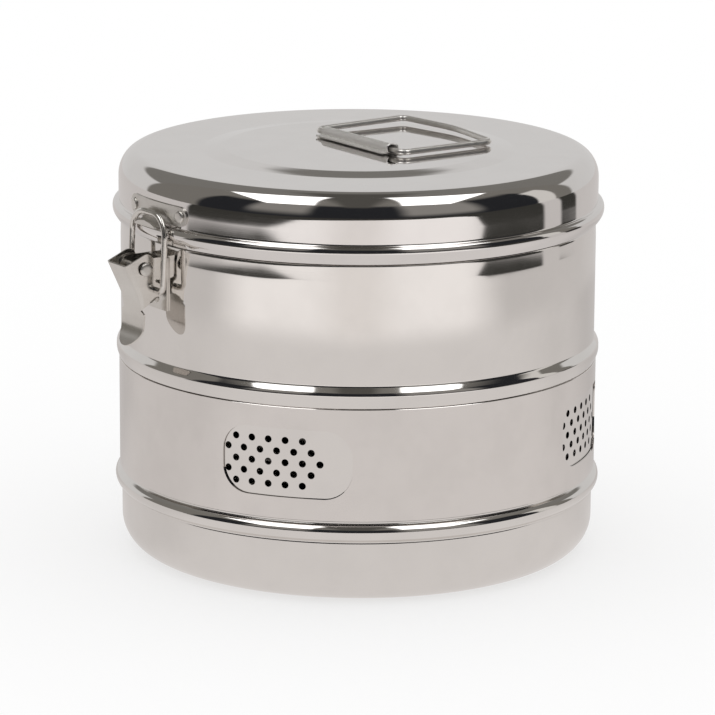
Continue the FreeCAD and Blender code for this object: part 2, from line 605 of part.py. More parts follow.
def main():
    os.makedirs("parts", exist_ok=True)
    export(make_drum_body(), "drum_body")
    export(make_vent_band(), "vent_band")
    export(make_seam_rivets(), "band_seam_rivets")
    export(make_lid(), "lid")
    export(make_handle_strap(), "handle_strap")
    export(make_handle_bail(), "handle_bail")
    latch_pieces = {"latch_bracket": make_bracket(), "bracket_rivets": make_bracket_rivets(),
                    "latch_lever": make_lever(), "lever_pivot": make_lever_pivot(),
                    "wire_loop": make_wire_loop(), "lid_catch": make_lid_catch(),
                    "catch_rivets": make_catch_rivets()}
    for side, angle in (("left", 180), ("right", 0)):
        for name, shape in latch_pieces.items():
            export(around(shape, angle), side + "_" + name)


main()
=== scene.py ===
# %% [markdown]
# # A stainless steel sterilizing drum
#
# The drum is a deep-drawn pot with a perforated wall, a loose ring with windows that slides round it,
# a lift-off lid with a folding wire handle, and a wire latch on each side. Everything is thin sheet or
# wire of polished stainless steel, so this lesson is about two things: surfaces whose normals are smooth
# enough to mirror a room, and a room that is worth mirroring.
#
# The CAD model is loaded first and is never moved. Each Blender piece is made in the same frame.

import math

import bmesh
import bpy
import numpy as np
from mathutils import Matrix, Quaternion, Vector


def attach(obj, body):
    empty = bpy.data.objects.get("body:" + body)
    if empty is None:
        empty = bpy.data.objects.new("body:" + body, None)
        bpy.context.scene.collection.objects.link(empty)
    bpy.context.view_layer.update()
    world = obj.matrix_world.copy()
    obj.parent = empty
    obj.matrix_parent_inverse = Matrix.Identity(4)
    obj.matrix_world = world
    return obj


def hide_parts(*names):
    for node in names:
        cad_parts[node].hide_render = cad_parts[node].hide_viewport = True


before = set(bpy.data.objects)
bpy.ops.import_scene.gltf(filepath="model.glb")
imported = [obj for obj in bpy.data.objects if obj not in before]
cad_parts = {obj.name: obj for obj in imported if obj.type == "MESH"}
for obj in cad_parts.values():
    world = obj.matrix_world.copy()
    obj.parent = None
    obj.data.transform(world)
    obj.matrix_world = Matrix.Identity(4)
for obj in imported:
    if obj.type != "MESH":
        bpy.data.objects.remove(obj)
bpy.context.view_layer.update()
MM, MICRON = 0.001, 0.000001

# %% [markdown]
# ## Colours and shader nodes
#
# Colours are written as sRGB hex values, the way a paint chart gives them, and Blender's shaders want
# linear light. One function turns one into the other. A second one adds a shader node with its settings
# and its links in a single call, so that a material reads like a list. Short names stand for the kinds
# of node and the settings that come up most often.

# %% Colour and node helpers
def linear(hex_colour):
    """sRGB hex to linear RGBA: below 0.04045 a division by 12.92, above it a power of 2.4."""
    srgb = np.array([int(hex_colour[i:i + 2], 16) / 255 for i in (1, 3, 5)])
    rgb = np.where(srgb <= 0.04045, srgb / 12.92, ((srgb + 0.055) / 1.055) ** 2.4)
    return (*rgb.tolist(), 1.0)


def add(tree, kind, settings=None, **inputs):
    """Adds one node. settings are its properties; an input is a value, a node or an output socket.

    An input is named by its label with spaces as underscores, or by its number after an underscore."""
    node = tree.nodes.new(kind)
    for key, value in (settings or {}).items():
        setattr(node, key, value)
    for key, value in inputs.items():
        socket = node.inputs[int(key[1:]) if key[0] == "_" and key[1:].isdigit() else key.replace("_", " ")]
        if isinstance(value, bpy.types.Node):
            value = value.outputs[0]
        if isinstance(value, bpy.types.NodeSocket):
            tree.links.new(value, socket)
        else:
            socket.default_value = value
    return node


MATH, MIX, RANGE, NOISE = "ShaderNodeMath", "ShaderNodeMix", "ShaderNodeMapRange", "ShaderNodeTexNoise"
PLUS, MINUS, TIMES, OVER = ({"operation": word} for word in ("ADD", "SUBTRACT", "MULTIPLY", "DIVIDE"))
MORE, LESS = {"operation": "GREATER_THAN"}, {"operation": "LESS_THAN"}
ARCTAN, ARCSINE = {"operation": "ARCTAN2"}, {"operation": "ARCSINE"}
COLOURS, SOFT = {"data_type": "RGBA"}, {"interpolation_type": "SMOOTHSTEP"}
print("light steel grey in linear light:", [round(v, 3) for v in linear("#D8D5D0")])

# %% [markdown]
# ## Steel
#
# The real finish is AISI 304 stainless sheet, drawn or spun and then polished on a buffing wheel. It is a
# metal, so metallic is 1 and the base colour is the colour of its mirror image: a light, slightly warm
# grey. Buffing leaves three marks that the eye reads as steel: hair lines that run round the drum, a
# faint cloudiness where the wheel pressed less, and long shallow waves from the drawing.
#
# The hair lines of a real mirror finish are a few micrometres apart, which is far too fine for a picture,
# so they are drawn about 0.5 mm apart. They run round the axis, because the noise changes fast along
# the profile (an attribute that each turned surface carries) and slowly along x and y. The small parts
# are of the same steel and were polished less, so the same shader serves them with a rougher surface.

# %% The shader of all the steels
LINES_ACROSS, LINES_ALONG = 1 / (0.5 * MM), 14.0    # a hair line every 0.5 mm, each some 70 mm long
WAVES, CLOUDS, SPECKS = 22.0, 38.0, 46.0            # per metre: waves of 45 mm, clouds of 26, cells of 22
SPECK_SHARE, SPECK_RADIUS = 0.07, 0.018             # of the cells, and of a cell's width


def steel_shader(name, colours, roughness, spread, line_height, wave_height, along="profile"):
    """Polished steel, as rough as roughness + spread (lines + clouds), with both between 0 and 1.

    The clouds mix the two colours, and the heights of lines and waves are in micrometres. along is the
    attribute that grows across the polishing lines, or a coordinate of the object."""
    material = bpy.data.materials.new(name)
    material.use_nodes = True
    tree = material.node_tree
    tree.nodes.clear()
    where = add(tree, "ShaderNodeTexCoord").outputs["Object"]
    axes = add(tree, "ShaderNodeSeparateXYZ", Vector=where)
    if along == "profile":
        across_lines = add(tree, "ShaderNodeAttribute", {"attribute_name": "profile"}).outputs["Fac"]
    else:
        across_lines = axes.outputs[along]
    stretched = add(tree, "ShaderNodeCombineXYZ",
                    X=add(tree, MATH, TIMES, _0=axes.outputs["X"], _1=LINES_ALONG),
                    Y=add(tree, MATH, TIMES, _0=axes.outputs["Y"], _1=LINES_ALONG),
                    Z=add(tree, MATH, TIMES, _0=across_lines, _1=LINES_ACROSS))
    lines = add(tree, NOISE, Vector=stretched, Scale=1.0, Detail=4.0, Roughness=0.65)
    waves = add(tree, NOISE, Vector=where, Scale=WAVES, Detail=1.0)
    clouds = add(tree, NOISE, Vector=where, Scale=CLOUDS, Detail=6.0, Roughness=0.6)
    # One cell in fourteen can hold a dark speck 0.8 mm across, a pit that the wheel didn't reach.
    cells = add(tree, "ShaderNodeTexVoronoi", {"feature": "F1"}, Vector=where, Scale=SPECKS)
    chance = add(tree, "ShaderNodeSeparateColor", Color=cells.outputs["Color"]).outputs["Red"]
    speck = add(tree, MATH, TIMES, _0=add(tree, MATH, MORE, _0=chance, _1=1 - SPECK_SHARE),
                _1=add(tree, MATH, LESS, _0=cells.outputs["Distance"], _1=SPECK_RADIUS))
    cloudy = add(tree, RANGE, SOFT, Value=clouds, From_Min=0.35, From_Max=0.7)
    tint = add(tree, MIX, COLOURS, Factor=cloudy, _6=linear(colours[0]), _7=linear(colours[1])).outputs[2]
    tint = add(tree, MIX, COLOURS, Factor=speck, _6=tint, _7=linear("#5A554E")).outputs[2]
    hazy = add(tree, RANGE, SOFT, Value=clouds, From_Min=0.3, From_Max=0.75, To_Min=0.0, To_Max=spread)
    brushed = add(tree, RANGE, SOFT, Value=lines, From_Min=0.3, From_Max=0.8, To_Min=roughness,
                  To_Max=roughness + spread)
    height = add(tree, MATH, PLUS, _0=add(tree, MATH, TIMES, _0=lines, _1=line_height * MICRON / MM),
                 _1=add(tree, MATH, TIMES, _0=waves, _1=wave_height * MICRON / MM))
    surface = add(tree, "ShaderNodeBsdfPrincipled", Base_Color=tint, Metallic=1.0,
                  Roughness=add(tree, MATH, PLUS, _0=hazy, _1=brushed),
                  Normal=add(tree, "ShaderNodeBump", Height=height, Strength=1.0, Distance=MM))
    add(tree, "ShaderNodeOutputMaterial", Surface=surface)
    print("material", name)
    return material


# %% [markdown]
# ## Nine finishes of one steel
#
# The pot and the lid went to the buffing wheel and mirror the room sharply. The ring was only satin
# buffed, so its image is a little blurred. Pressed and riveted parts were tumbled in a barrel of grit,
# which rounds their edges and leaves them brighter or duller with how much of them the grit reached. The
# handle has been worn dull by hands, and its base colour is painted lighter, as painted light; the strip
# that holds it is painted paler still, and the catch's strap is painted darker, as painted shade.

# %% The steels of the drum
POT_STEEL = steel_shader("mirror buffed 304 steel, drawn pot", ("#E7E4E1", "#E4E1DE"), 0.04, 0.02, 0.25, 35.0)
LID_STEEL = steel_shader("mirror buffed 304 steel, spun lid", ("#E6E3E1", "#E3E0DE"), 0.035, 0.02, 0.2, 20.0)
BAND_STEEL = steel_shader("satin buffed 304 steel, rolled band", ("#E6E2DF", "#E2DEDB"), 0.07, 0.03, 0.4, 40.0)
LATCH_STEEL = steel_shader("pressed 304 steel, tumbled bright", ("#DEDBD6", "#D8D4CF"), 0.14, 0.06, 0.5, 30.0,
                           along="Z")
WIRE_STEEL = steel_shader("drawn 304 steel wire, polished", ("#E2DFDA", "#DCD8D3"), 0.14, 0.05, 0.3, 10.0)
# Painted light: the handle wire's base colour is lighter than the other steels', so that it looks brighter.
BAIL_STEEL = steel_shader("drawn 304 steel wire, worn dull, painted lighter", ("#F0EDE9", "#E9E6E2"), 0.3, 0.06, 0.3, 10.0)
# Painted light: the strip's base colour is the palest of all, so that it looks brighter than the room makes it.
STRIP_STEEL = steel_shader("satin 304 steel strip, painted pale", ("#F4F2EF", "#EFEDEA"), 0.5, 0.06, 0.4, 10.0,
                           along="X")
# Painted shade: the catch's base colour is darker than the other steels', so that the strap looks dark.
CATCH_STEEL = steel_shader("pressed 304 steel strap, dull, painted darker", ("#D9D6D1", "#D2CEC9"), 0.3, 0.06,
                           0.4, 10.0, along="Z")
RIVET_STEEL = steel_shader("headed 304 steel rivet, tumbled", ("#E6E3DE", "#DDDAD5"), 0.27, 0.06, 0.4, 20.0,
                           along="Z")

# %% [markdown]
# ## From numbers to a mesh
#
# A turned or bent piece is a grid of points worked out with numpy. These helpers join neighbouring grid
# points into quads, put the arrays into a mesh, shade it smooth except where the real metal has an edge,
# and hang the finished piece on the body that it moves with. The piece then stands for its CAD node.

# %% Mesh helpers
def grid_quads(rows, columns, close_rows=False, close_columns=False):
    """Quads of a grid stored row by row: each joins a point to its right, upper right and upper one."""
    r = np.arange(rows if close_rows else rows - 1)
    c = np.arange(columns if close_columns else columns - 1)
    r, c = np.meshgrid(r, c, indexing="ij")
    up, right = (r + 1) % rows, (c + 1) % columns
    quads = np.stack([r * columns + c, r * columns + right, up * columns + right, up * columns + c], axis=-1)
    return quads.reshape(-1, 4)


def mesh_from(name, points_mm, faces, edge_angle=40.0, profile=None, outwards=False):
    """Mesh from points in mm; doubles are merged, and edges sharper than edge_angle stay sharp."""
    mesh = bpy.data.meshes.new(name)
    mesh.from_pydata((np.asarray(points_mm) * MM).tolist(), [], np.asarray(faces).tolist())
    if profile is not None:
        mesh.attributes.new("profile", "FLOAT", "POINT").data.foreach_set(
            "value", (np.asarray(profile) * MM).astype(np.float32))
    work = bmesh.new()
    work.from_mesh(mesh)
    bmesh.ops.remove_doubles(work, verts=work.verts, dist=0.002 * MM)
    bmesh.ops.dissolve_degenerate(work, edges=work.edges, dist=0.001 * MM)
    if outwards:
        bmesh.ops.recalc_face_normals(work, faces=work.faces)
    work.to_mesh(mesh)
    work.free()
    mesh.shade_smooth()
    mesh.set_sharp_from_angle(angle=math.radians(edge_angle))
    return mesh


def place(mesh, material, slot, body, *replaced):
    """Puts a mesh in the scene on a body, with its finish, and lets it stand for CAD nodes."""
    piece = bpy.data.objects.new(mesh.name, mesh)
    bpy.context.scene.collection.objects.link(piece)
    mesh.materials.clear()
    mesh.materials.append(material)
    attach(piece, body)
    if replaced:
        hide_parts(*replaced)
    print(f"{mesh.name}: {len(mesh.vertices)} points, {len(mesh.polygons)} faces")
    return piece


print("a grid of 3 by 4 points that closes both ways has", len(grid_quads(3, 4, True, True)), "quads")

# %% [markdown]
# ## Drawing a profile
#
# A drawn pot is a profile turned round an axis. The profile is drawn in the half plane (radius, height)
# with sharp corners, as in the CAD, and then softened with a bell curve, because sheet never folds to a
# knife edge. Last it is thinned: many points where it bends, few where it runs straight.

# %% Profile helpers
def arc(centre, radius, start, end, count=24):
    """Circle arc in the half plane: centre + radius (cos t, sin t), t from start to end in degrees."""
    t = np.radians(np.linspace(start, end, count))
    return np.column_stack((centre[0] + radius * np.cos(t), centre[1] + radius * np.sin(t)))


def bead(radius, z, proud, half_height, crest=4.0, lean=36.0, upright=0.0):
    """Outward bead: an arc of radius (h^2 + p^2) / 2p from its lower foot to its crest, an upright stretch,
    a smaller arc up to lean degrees and a straight flank to the wall."""
    r = (half_height ** 2 + proud ** 2) / (2 * proud)
    reach = math.degrees(math.asin(half_height / r))
    lower = arc((radius + proud - r, z), r, -reach, 0)
    upper = arc((radius + proud - crest, z + upright), crest, 0, lean)[1:]
    foot = upper[-1, 1] + (upper[-1, 0] - radius) / math.tan(math.radians(lean))
    return np.vstack((lower, upper, [[radius, foot]]))


def length_along(points):
    """Distance from the first point to each point, measured along the line."""
    return np.concatenate(([0.0], np.cumsum(np.linalg.norm(np.diff(points, axis=0), axis=1))))


def evenly(points, step):
    """The same line with points every step mm."""
    s = length_along(points)
    t = np.linspace(0, s[-1], max(2, int(s[-1] / step) + 1))
    return np.column_stack([np.interp(t, s, points[:, k]) for k in range(points.shape[1])])


def softened(points, radius, step=0.1):
    """Moving average of the line, weighted with a bell curve exp(-d^2 / 2 radius^2)."""
    dense = evenly(np.asarray(points, float), step)
    reach = int(3 * radius / step)
    bell = np.exp(-0.5 * (np.arange(-reach, reach + 1) * step / radius) ** 2)
    bell /= bell.sum()
    before = dense[0] + (dense[0] - dense[1]) * np.arange(reach, 0, -1)[:, None]
    after = dense[-1] + (dense[-1] - dense[-2]) * np.arange(1, reach + 1)[:, None]
    padded = np.vstack((before, dense, after))
    return np.column_stack([np.convolve(padded[:, k], bell, mode="valid") for k in range(dense.shape[1])])


def thinned(points, turn=4.0, step=7.0):
    """Keeps a point each time the line has turned by turn degrees or run step mm, counted together.

    The square root of the curvature counts too, so that a flat starts with a point of its own: a mirror
    shows a normal that is half a degree out."""
    d = np.diff(points, axis=0)
    run = np.append(np.hypot(d[:, 0], d[:, 1]), 0.0)
    heading = np.degrees(np.unwrap(np.arctan2(d[:, 1], d[:, 0])))
    bend = np.concatenate(([0.0], np.abs(np.diff(heading)), [0.0]))
    cost = np.cumsum((bend + np.sqrt(bend * run)) / turn) + length_along(points) / step
    keep = np.unique(np.searchsorted(cost, np.linspace(0, cost[-1], int(math.ceil(cost[-1])) + 1)))
    return np.unique(np.append(np.clip(keep, 0, len(points) - 1), len(points) - 1))


def inner_side(points, thickness):
    """The line moved to its left by the sheet's thickness, along (-dz, dr) made one long."""
    d = np.gradient(points, axis=0)
    return points + thickness * np.column_stack((-d[:, 1], d[:, 0])) / np.linalg.norm(d, axis=1)[:, None]


def turned(outline, angles):
    """Every outline point (r, z) at every angle a: (r cos a, r sin a, z), row by row."""
    r, z = outline[:, :1], outline[:, 1:]
    return np.stack((r * np.cos(angles), r * np.sin(angles), z + 0 * angles), axis=-1).reshape(-1, 3)


print("a quarter circle of 10 mm keeps", len(thinned(arc((0, 0), 10.0, 0, 90, 91))), "of 91 points")

# %% [markdown]
# ## From a profile to a shell
#
# A sheet has two sides. The outer line is thinned finely, because it is what mirrors the room, and the
# inner line more coarsely; together they make one closed outline, which is turned round the axis.

# %% Sheet turned round the axis
def sheet_outline(line, thickness, turn=4.0, step=8.0):
    """Closed outline of a sheet, up its outer line and back down its inner one, and the length along it."""
    s = length_along(line)
    inner = inner_side(line, thickness)
    out_kept, in_kept = thinned(line, turn, step), thinned(inner, 3 * turn, 2 * step)[::-1]
    outline = np.vstack((line[out_kept], inner[in_kept]))
    outline[:, 0] = np.maximum(outline[:, 0], 0.0)
    return outline, np.concatenate((s[out_kept], s[in_kept]))


def shell_from(name, outline, lengths, columns):
    """Shell of a closed outline turned round the axis in even steps."""
    angles = np.linspace(0, 2 * np.pi, columns, endpoint=False)
    return mesh_from(name, turned(outline, angles), grid_quads(len(outline), columns, True, True),
                     profile=np.repeat(lengths, columns))


print("both sides of a flat sheet, 20 mm wide:",
      len(sheet_outline(evenly(np.array([[0.0, 0.0], [20.0, 0.0]]), 0.5), 1.0)[0]), "points")

# %% [markdown]
# ## The lid
#
# The lid is spun from one disc: a hem and a bulging bead at the bottom, a short skirt, a rounded
# shoulder, a flat rim, and a raised centre disc. The bead has a nearly flat ledge on top, so the eye
# meets the whole room twice in it. Both it and the shoulder get a point every few degrees.

# %% Spin the lid
LID_RADIUS, LID_SHEET, LID_BOTTOM = 141.0, 0.7, 199.1
LEDGE_Z, BEAD_CREST_Z, BEAD_PROUD = 209.4, 205.6, 3.6
SHOULDER_Z, SHOULDER_REACH, SHOULDER_RISE = 238.3, 12.0, 14.5
DISC_RADIUS, DISC_STEP, DISC_Z = 79.0, 12.5, 240.1
LID_COLUMNS = 360

lid_bead = np.array([[0.3, LID_BOTTOM], [1.8, 201.0], [2.9, 202.7], [BEAD_PROUD - 0.15, 204.1],
                     [BEAD_PROUD, BEAD_CREST_Z], [BEAD_PROUD - 0.1, 207.0], [3.0, 208.3],
                     [2.0, LEDGE_Z - 0.3], [0.0, LEDGE_Z]])
shoulder = arc((0.0, 0.0), 1.0, 0, 90) * (SHOULDER_REACH, SHOULDER_RISE)
lid_line = softened(np.vstack((lid_bead + (LID_RADIUS, 0.0),
                               shoulder + (LID_RADIUS - SHOULDER_REACH, SHOULDER_Z - SHOULDER_RISE),
                               [[DISC_RADIUS + DISC_STEP, SHOULDER_Z], [DISC_RADIUS, DISC_Z],
                                [0.0, DISC_Z]])), 0.5)
place(shell_from("lid_shell", *sheet_outline(lid_line, LID_SHEET), LID_COLUMNS), LID_STEEL, "lid_steel",
      "lid", "lid")

# %% [markdown]
# ## Punching holes in a turned wall
#
# The wall has four patches of round holes and the band four long windows. A boolean would do it, but it
# leaves long thin faces that crumple a mirror image. Here the wall's own grid is used: a block of grid
# cells is taken out, and rings of quads run from the block's border to the edge of the hole, on the
# outside and on the inside of the sheet, with a short wall between them.

# %% The punch
def border_steps(half_rows, half_columns):
    """Steps from a block's middle to its border points, anticlockwise from the right-hand one."""
    up, down = np.arange(half_rows), np.arange(-half_rows, 0)
    left, right = np.arange(half_columns, -half_columns, -1), np.arange(-half_columns, half_columns)
    full = np.arange(half_rows, -half_rows, -1)
    rows = np.concatenate((up, 0 * left + half_rows, full, 0 * right - half_rows, down))
    columns = np.concatenate((0 * up + half_columns, left, 0 * full - half_columns, right,
                              0 * down + half_columns))
    return rows, columns


def punch(points, quads, wall, angles, cells, half, edge, radii, rings=1):
    """Cuts openings with the edge (sideways, up) in mm, at grid cells (row, column) of a straight wall.

    wall holds the grid row of the wall's first height on the outside, the same on the inside, and the
    heights. Each ring of new points lies on the straight line from the border to the edge of the hole."""
    outer_row, inner_row, heights = wall
    columns = len(angles)
    step_r, step_c = border_steps(*half)
    count = len(step_r)
    rows = cells[0][:, None] + step_r
    across = (cells[1][:, None] + step_c) % columns
    inside_r, inside_c = np.meshgrid(np.arange(-half[0], half[0]), np.arange(-half[1], half[1]))
    gone_r = cells[0][:, None] + inside_r.ravel()
    gone_c = (cells[1][:, None] + inside_c.ravel()) % columns
    keep = np.ones(len(quads), bool)
    keep[((outer_row + gone_r) * columns + gone_c).ravel()] = False
    keep[((inner_row - gone_r - 1) * columns + gone_c).ravel()] = False
    middle_a, middle_z = angles[cells[1]][:, None], heights[cells[0]][:, None]
    border_a = (angles[across] - middle_a + np.pi) % (2 * np.pi) - np.pi
    border_z = heights[rows] - middle_z
    old_out, old_in = (outer_row + rows) * columns + across, (inner_row - rows) * columns + across
    new_points, new_quads = [points], [quads[keep]]
    total = len(points)
    for ring in range(1, rings + 1):
        share = ring / rings
        a = middle_a + border_a + (edge[0] / radii[0] - border_a) * share
        z = middle_z + border_z + (edge[1] - border_z) * share
        now = []
        for radius in radii:
            new_points.append(np.stack((radius * np.cos(a), radius * np.sin(a), z), axis=-1).reshape(-1, 3))
            now.append(total + np.arange(a.size).reshape(a.shape))
            total += a.size
        turn = np.roll(np.arange(count), -1)
        new_quads.append(np.stack((now[0], old_out, old_out[:, turn], now[0][:, turn]), axis=-1).reshape(-1, 4))
        new_quads.append(np.stack((old_in, now[1], now[1][:, turn], old_in[:, turn]), axis=-1).reshape(-1, 4))
        old_out, old_in = now
    new_quads.append(np.stack((old_out, old_out[:, turn], old_in[:, turn], old_in), axis=-1).reshape(-1, 4))
    return np.vstack(new_points), np.vstack(new_quads)


def true_cylinder(mesh, low, high):
    """Sets the normals of a punched wall between two heights in mm to the direction of the radius."""
    corners = len(mesh.loops)
    normals, vertex = np.empty(corners * 3), np.empty(corners, int)
    mesh.corner_normals.foreach_get("vector", normals)
    mesh.loops.foreach_get("vertex_index", vertex)
    normals = normals.reshape(-1, 3)
    co = np.empty(len(mesh.vertices) * 3)
    mesh.vertices.foreach_get("co", co)
    co = co.reshape(-1, 3)[vertex]
    radial = co * (1, 1, 0) / np.linalg.norm(co[:, :2], axis=1)[:, None]
    facing = np.einsum("ij,ij->i", normals, radial)
    flat = (np.abs(facing) > 0.8) & (co[:, 2] > low * MM) & (co[:, 2] < high * MM)
    normals[flat] = radial[flat] * np.sign(facing[flat])[:, None]
    mesh.normals_split_custom_set(normals.tolist())


print("a block of 4 by 4 cells has", len(border_steps(2, 2)[0]), "border points")

# %% [markdown]
# ## The pot
#
# The pot is deep-drawn: a recessed bottom that stands on a ring, a rounded foot, two beads that keep the
# band in place, a neck under the lid and a rolled rim. A bead is round below and has a straight flank
# above, so its upper side mirrors one narrow part of the room, as a flat mirror does. The upper bead's
# lower side is mostly hidden by the band and is left out but for a small step.

# %% Draw the pot's line
BODY_RADIUS, BODY_SHEET, WALL_TOP, NECK_RADIUS = 140.0, 0.8, 198.0, 138.6
LOWER_BEAD, LOWER_PROUD, UPPER_BEAD, UPPER_PROUD, BEAD_HALF = 44.0, 3.8, 121.8, 2.7, 5.8
SETBACK_Z, ROLL_R, ROLL, ROLL_POINTS, RIM_Z = 188.6, 138.4, 1.4, 20, 229.7

foot = np.vstack(([[0.0, 1.5], [103.0, 1.5], [106.0, 0.0]], arc((120.0, 20.0), 20.0, -90, 0)))
lower_bead = np.vstack(([[BODY_RADIUS, LOWER_BEAD - 7.0], [BODY_RADIUS - 0.3, LOWER_BEAD - 6.2]],
                        bead(BODY_RADIUS, LOWER_BEAD, LOWER_PROUD, BEAD_HALF, lean=58.0)))
upper_bead = np.vstack(([[BODY_RADIUS, UPPER_BEAD - 6.1], [BODY_RADIUS + 0.95, UPPER_BEAD - 5.9]],
                        bead(BODY_RADIUS, UPPER_BEAD, UPPER_PROUD, BEAD_HALF, upright=1.6)[12:]))
neck = [[BODY_RADIUS, SETBACK_Z], [BODY_RADIUS - 0.05, SETBACK_Z + 0.9], [BODY_RADIUS - 0.18, SETBACK_Z + 6.0],
        [BODY_RADIUS - 0.2, WALL_TOP], [NECK_RADIUS, WALL_TOP + 1.2], [NECK_RADIUS, RIM_Z - 1.5]]
pot_line = softened(np.vstack((foot, lower_bead, upper_bead, neck)), 0.4)
pot_line[0, 0] = 0.0
pot_inner = inner_side(pot_line, BODY_SHEET)
print("from the bottom's middle to the rim:", round(length_along(pot_line)[-1]), "mm of sheet")

# %% [markdown]
# ## The grid of the wall
#
# Steam gets in through four patches of 29 holes of 4.2 mm, in rows of 5, 6, 7, 6 and 5 that are shifted
# by half a pitch. That is exactly a brick bond: every hole is the middle of a brick of 4 by 4 grid
# cells. So the wall gets a row of points for every quarter of a row pitch, and a column for every
# quarter of a hole pitch, and wider columns from patch to patch.

# %% Set out the wall's rows and columns
BAND_MIDDLE, HOLE_PITCH, ROW_PITCH, HOLE_RADIUS = 82.9, 10.15, 6.5, 2.1
HOLES_IN_ROWS = np.array([5, 6, 7, 6, 5])
PATCH_ANGLE = math.radians(34.0)
CELLS, HALF_PATCH, GAP_STEPS = 4, 14, 32    # cells to a brick, columns to half of seven bricks, and between

patch_z = BAND_MIDDLE + np.arange(-10, 11) * ROW_PITCH / CELLS


def with_wall_rows(line, lengths, turn, step):
    """The thinned line, with the patches' own grid heights in place of its points there."""
    kept = thinned(line, turn, step)
    here = (line[kept, 0] > 138) & (line[kept, 1] > patch_z[0] - 2) & (line[kept, 1] < patch_z[-1] + 2)
    kept = kept[~here]
    below = int(np.sum((line[kept, 1] < BAND_MIDDLE)))
    wall_r = line[np.argmin(np.abs(line[:, 1] - BAND_MIDDLE)), 0]
    rows = np.column_stack((0 * patch_z + wall_r, patch_z))
    wall_s = np.interp(patch_z, line[kept, 1][below - 2:below + 2], lengths[kept][below - 2:below + 2])
    return (np.vstack((line[kept][:below], rows, line[kept][below:])),
            np.concatenate((lengths[kept][:below], wall_s, lengths[kept][below:])), below)


pot_s = length_along(pot_line)
outside, outside_s, outer_row = with_wall_rows(pot_line, pot_s, 4.0, 8.0)
inside, inside_s, inner_from_bottom = with_wall_rows(pot_inner, pot_s, 16.0, 20.0)
pot_outline = np.vstack((outside, arc((ROLL_R, RIM_Z), ROLL, -80, 244, ROLL_POINTS), inside[::-1]))
pot_outline[:, 0] = np.maximum(pot_outline[:, 0], 0.0)
pot_lengths = np.concatenate((outside_s, outside_s[-1] + np.arange(ROLL_POINTS) * 0.4, inside_s[::-1]))
inner_row = len(pot_outline) - 1 - inner_from_bottom

brick = HOLE_PITCH / CELLS / BODY_RADIUS
gap = np.linspace(HALF_PATCH * brick, np.pi / 2 - HALF_PATCH * brick, GAP_STEPS + 1)[:-1]
quarter = np.concatenate((np.arange(-HALF_PATCH, HALF_PATCH) * brick, gap))
pot_angles = (PATCH_ANGLE + np.arange(4)[:, None] * np.pi / 2 + quarter).ravel()
column_of_patch = HALF_PATCH + len(quarter) * np.arange(4)
print("the pot's grid:", len(pot_outline), "rows of", len(pot_angles), "points")

# %% Turn and punch the pot
hole_row = np.repeat(18 - CELLS * np.arange(len(HOLES_IN_ROWS)), HOLES_IN_ROWS)
hole_step = np.concatenate([(np.arange(n) * CELLS - 2 * (n - 1)) for n in HOLES_IN_ROWS])
hole_cells = np.tile(hole_row, 4), (column_of_patch[:, None] + hole_step).ravel()
round_t = np.arange(16) * np.pi / 8
round_edge = (HOLE_RADIUS * np.cos(round_t), HOLE_RADIUS * np.sin(round_t))

pot_points = turned(pot_outline, pot_angles)
whole = len(pot_points)
pot_points, pot_quads = punch(pot_points, grid_quads(len(pot_outline), len(pot_angles), True, True),
                              (outer_row, inner_row, patch_z), pot_angles, hole_cells, (2, 2), round_edge,
                              (BODY_RADIUS, BODY_RADIUS - BODY_SHEET))
on_hole_edges = np.interp(pot_points[whole:, 2], patch_z, outside_s[outer_row:outer_row + len(patch_z)])
pot_mesh = mesh_from("pot_shell", pot_points, pot_quads,
                     profile=np.concatenate((np.repeat(pot_lengths, len(pot_angles)), on_hole_edges)))
true_cylinder(pot_mesh, patch_z[0] - 1, patch_z[-1] + 1)
place(pot_mesh, POT_STEEL, "pot_steel", "drum", "drum_body")
print("holes:", len(hole_cells[0]))

# %% [markdown]
# ## The vent band
#
# The band is a strip of 0.9 mm sheet rolled into a ring, with its ends lapped and riveted at the back.
# Turned by hand, it brings its four windows over the patches of holes or away from them. The windows
# are 78 by 40 mm with corners of 16 mm, and each is one block of the ring's grid, taken out and filled
# in again by three rings of quads. As in the photo, the band stands a few degrees off the patches.

# %% Draw the band and its windows
BAND_INNER, BAND_SHEET, BAND_HALF = 140.35, 0.9, 32.7
BAND_RADIUS = BAND_INNER + BAND_SHEET
WINDOW, WINDOW_CORNER, WINDOW_ANGLE = (78.0, 40.0), 16.0, math.radians(38.2)
HALF_ROWS, HALF_COLUMNS, COLUMN = 8, 12, np.radians(1.5)


def window_edge(half_rows, half_columns, width, height, corner):
    """Rounded rectangle with as many points as the block's border, its corners at the arcs' middles."""
    t = np.radians(np.linspace(0, 90, 25))
    first = np.vstack(([[width / 2, 0.0]], np.column_stack((width / 2 - corner + corner * np.cos(t),
                                                           height / 2 - corner + corner * np.sin(t))),
                       [[0.0, height / 2]]))
    s = length_along(first)
    bend = s[13]
    here = np.concatenate((np.linspace(0, bend, half_rows + 1)[:-1],
                           np.linspace(bend, s[-1], half_columns + 1)))
    side, up = np.interp(here, s, first[:, 0]), np.interp(here, s, first[:, 1])
    half_side = np.concatenate((side, -side[-2:0:-1], -side[:1]))
    half_up = np.concatenate((up, up[-2:0:-1], up[:1]))
    return np.concatenate((half_side, -half_side[1:-1])), np.concatenate((half_up, -half_up[1:-1]))


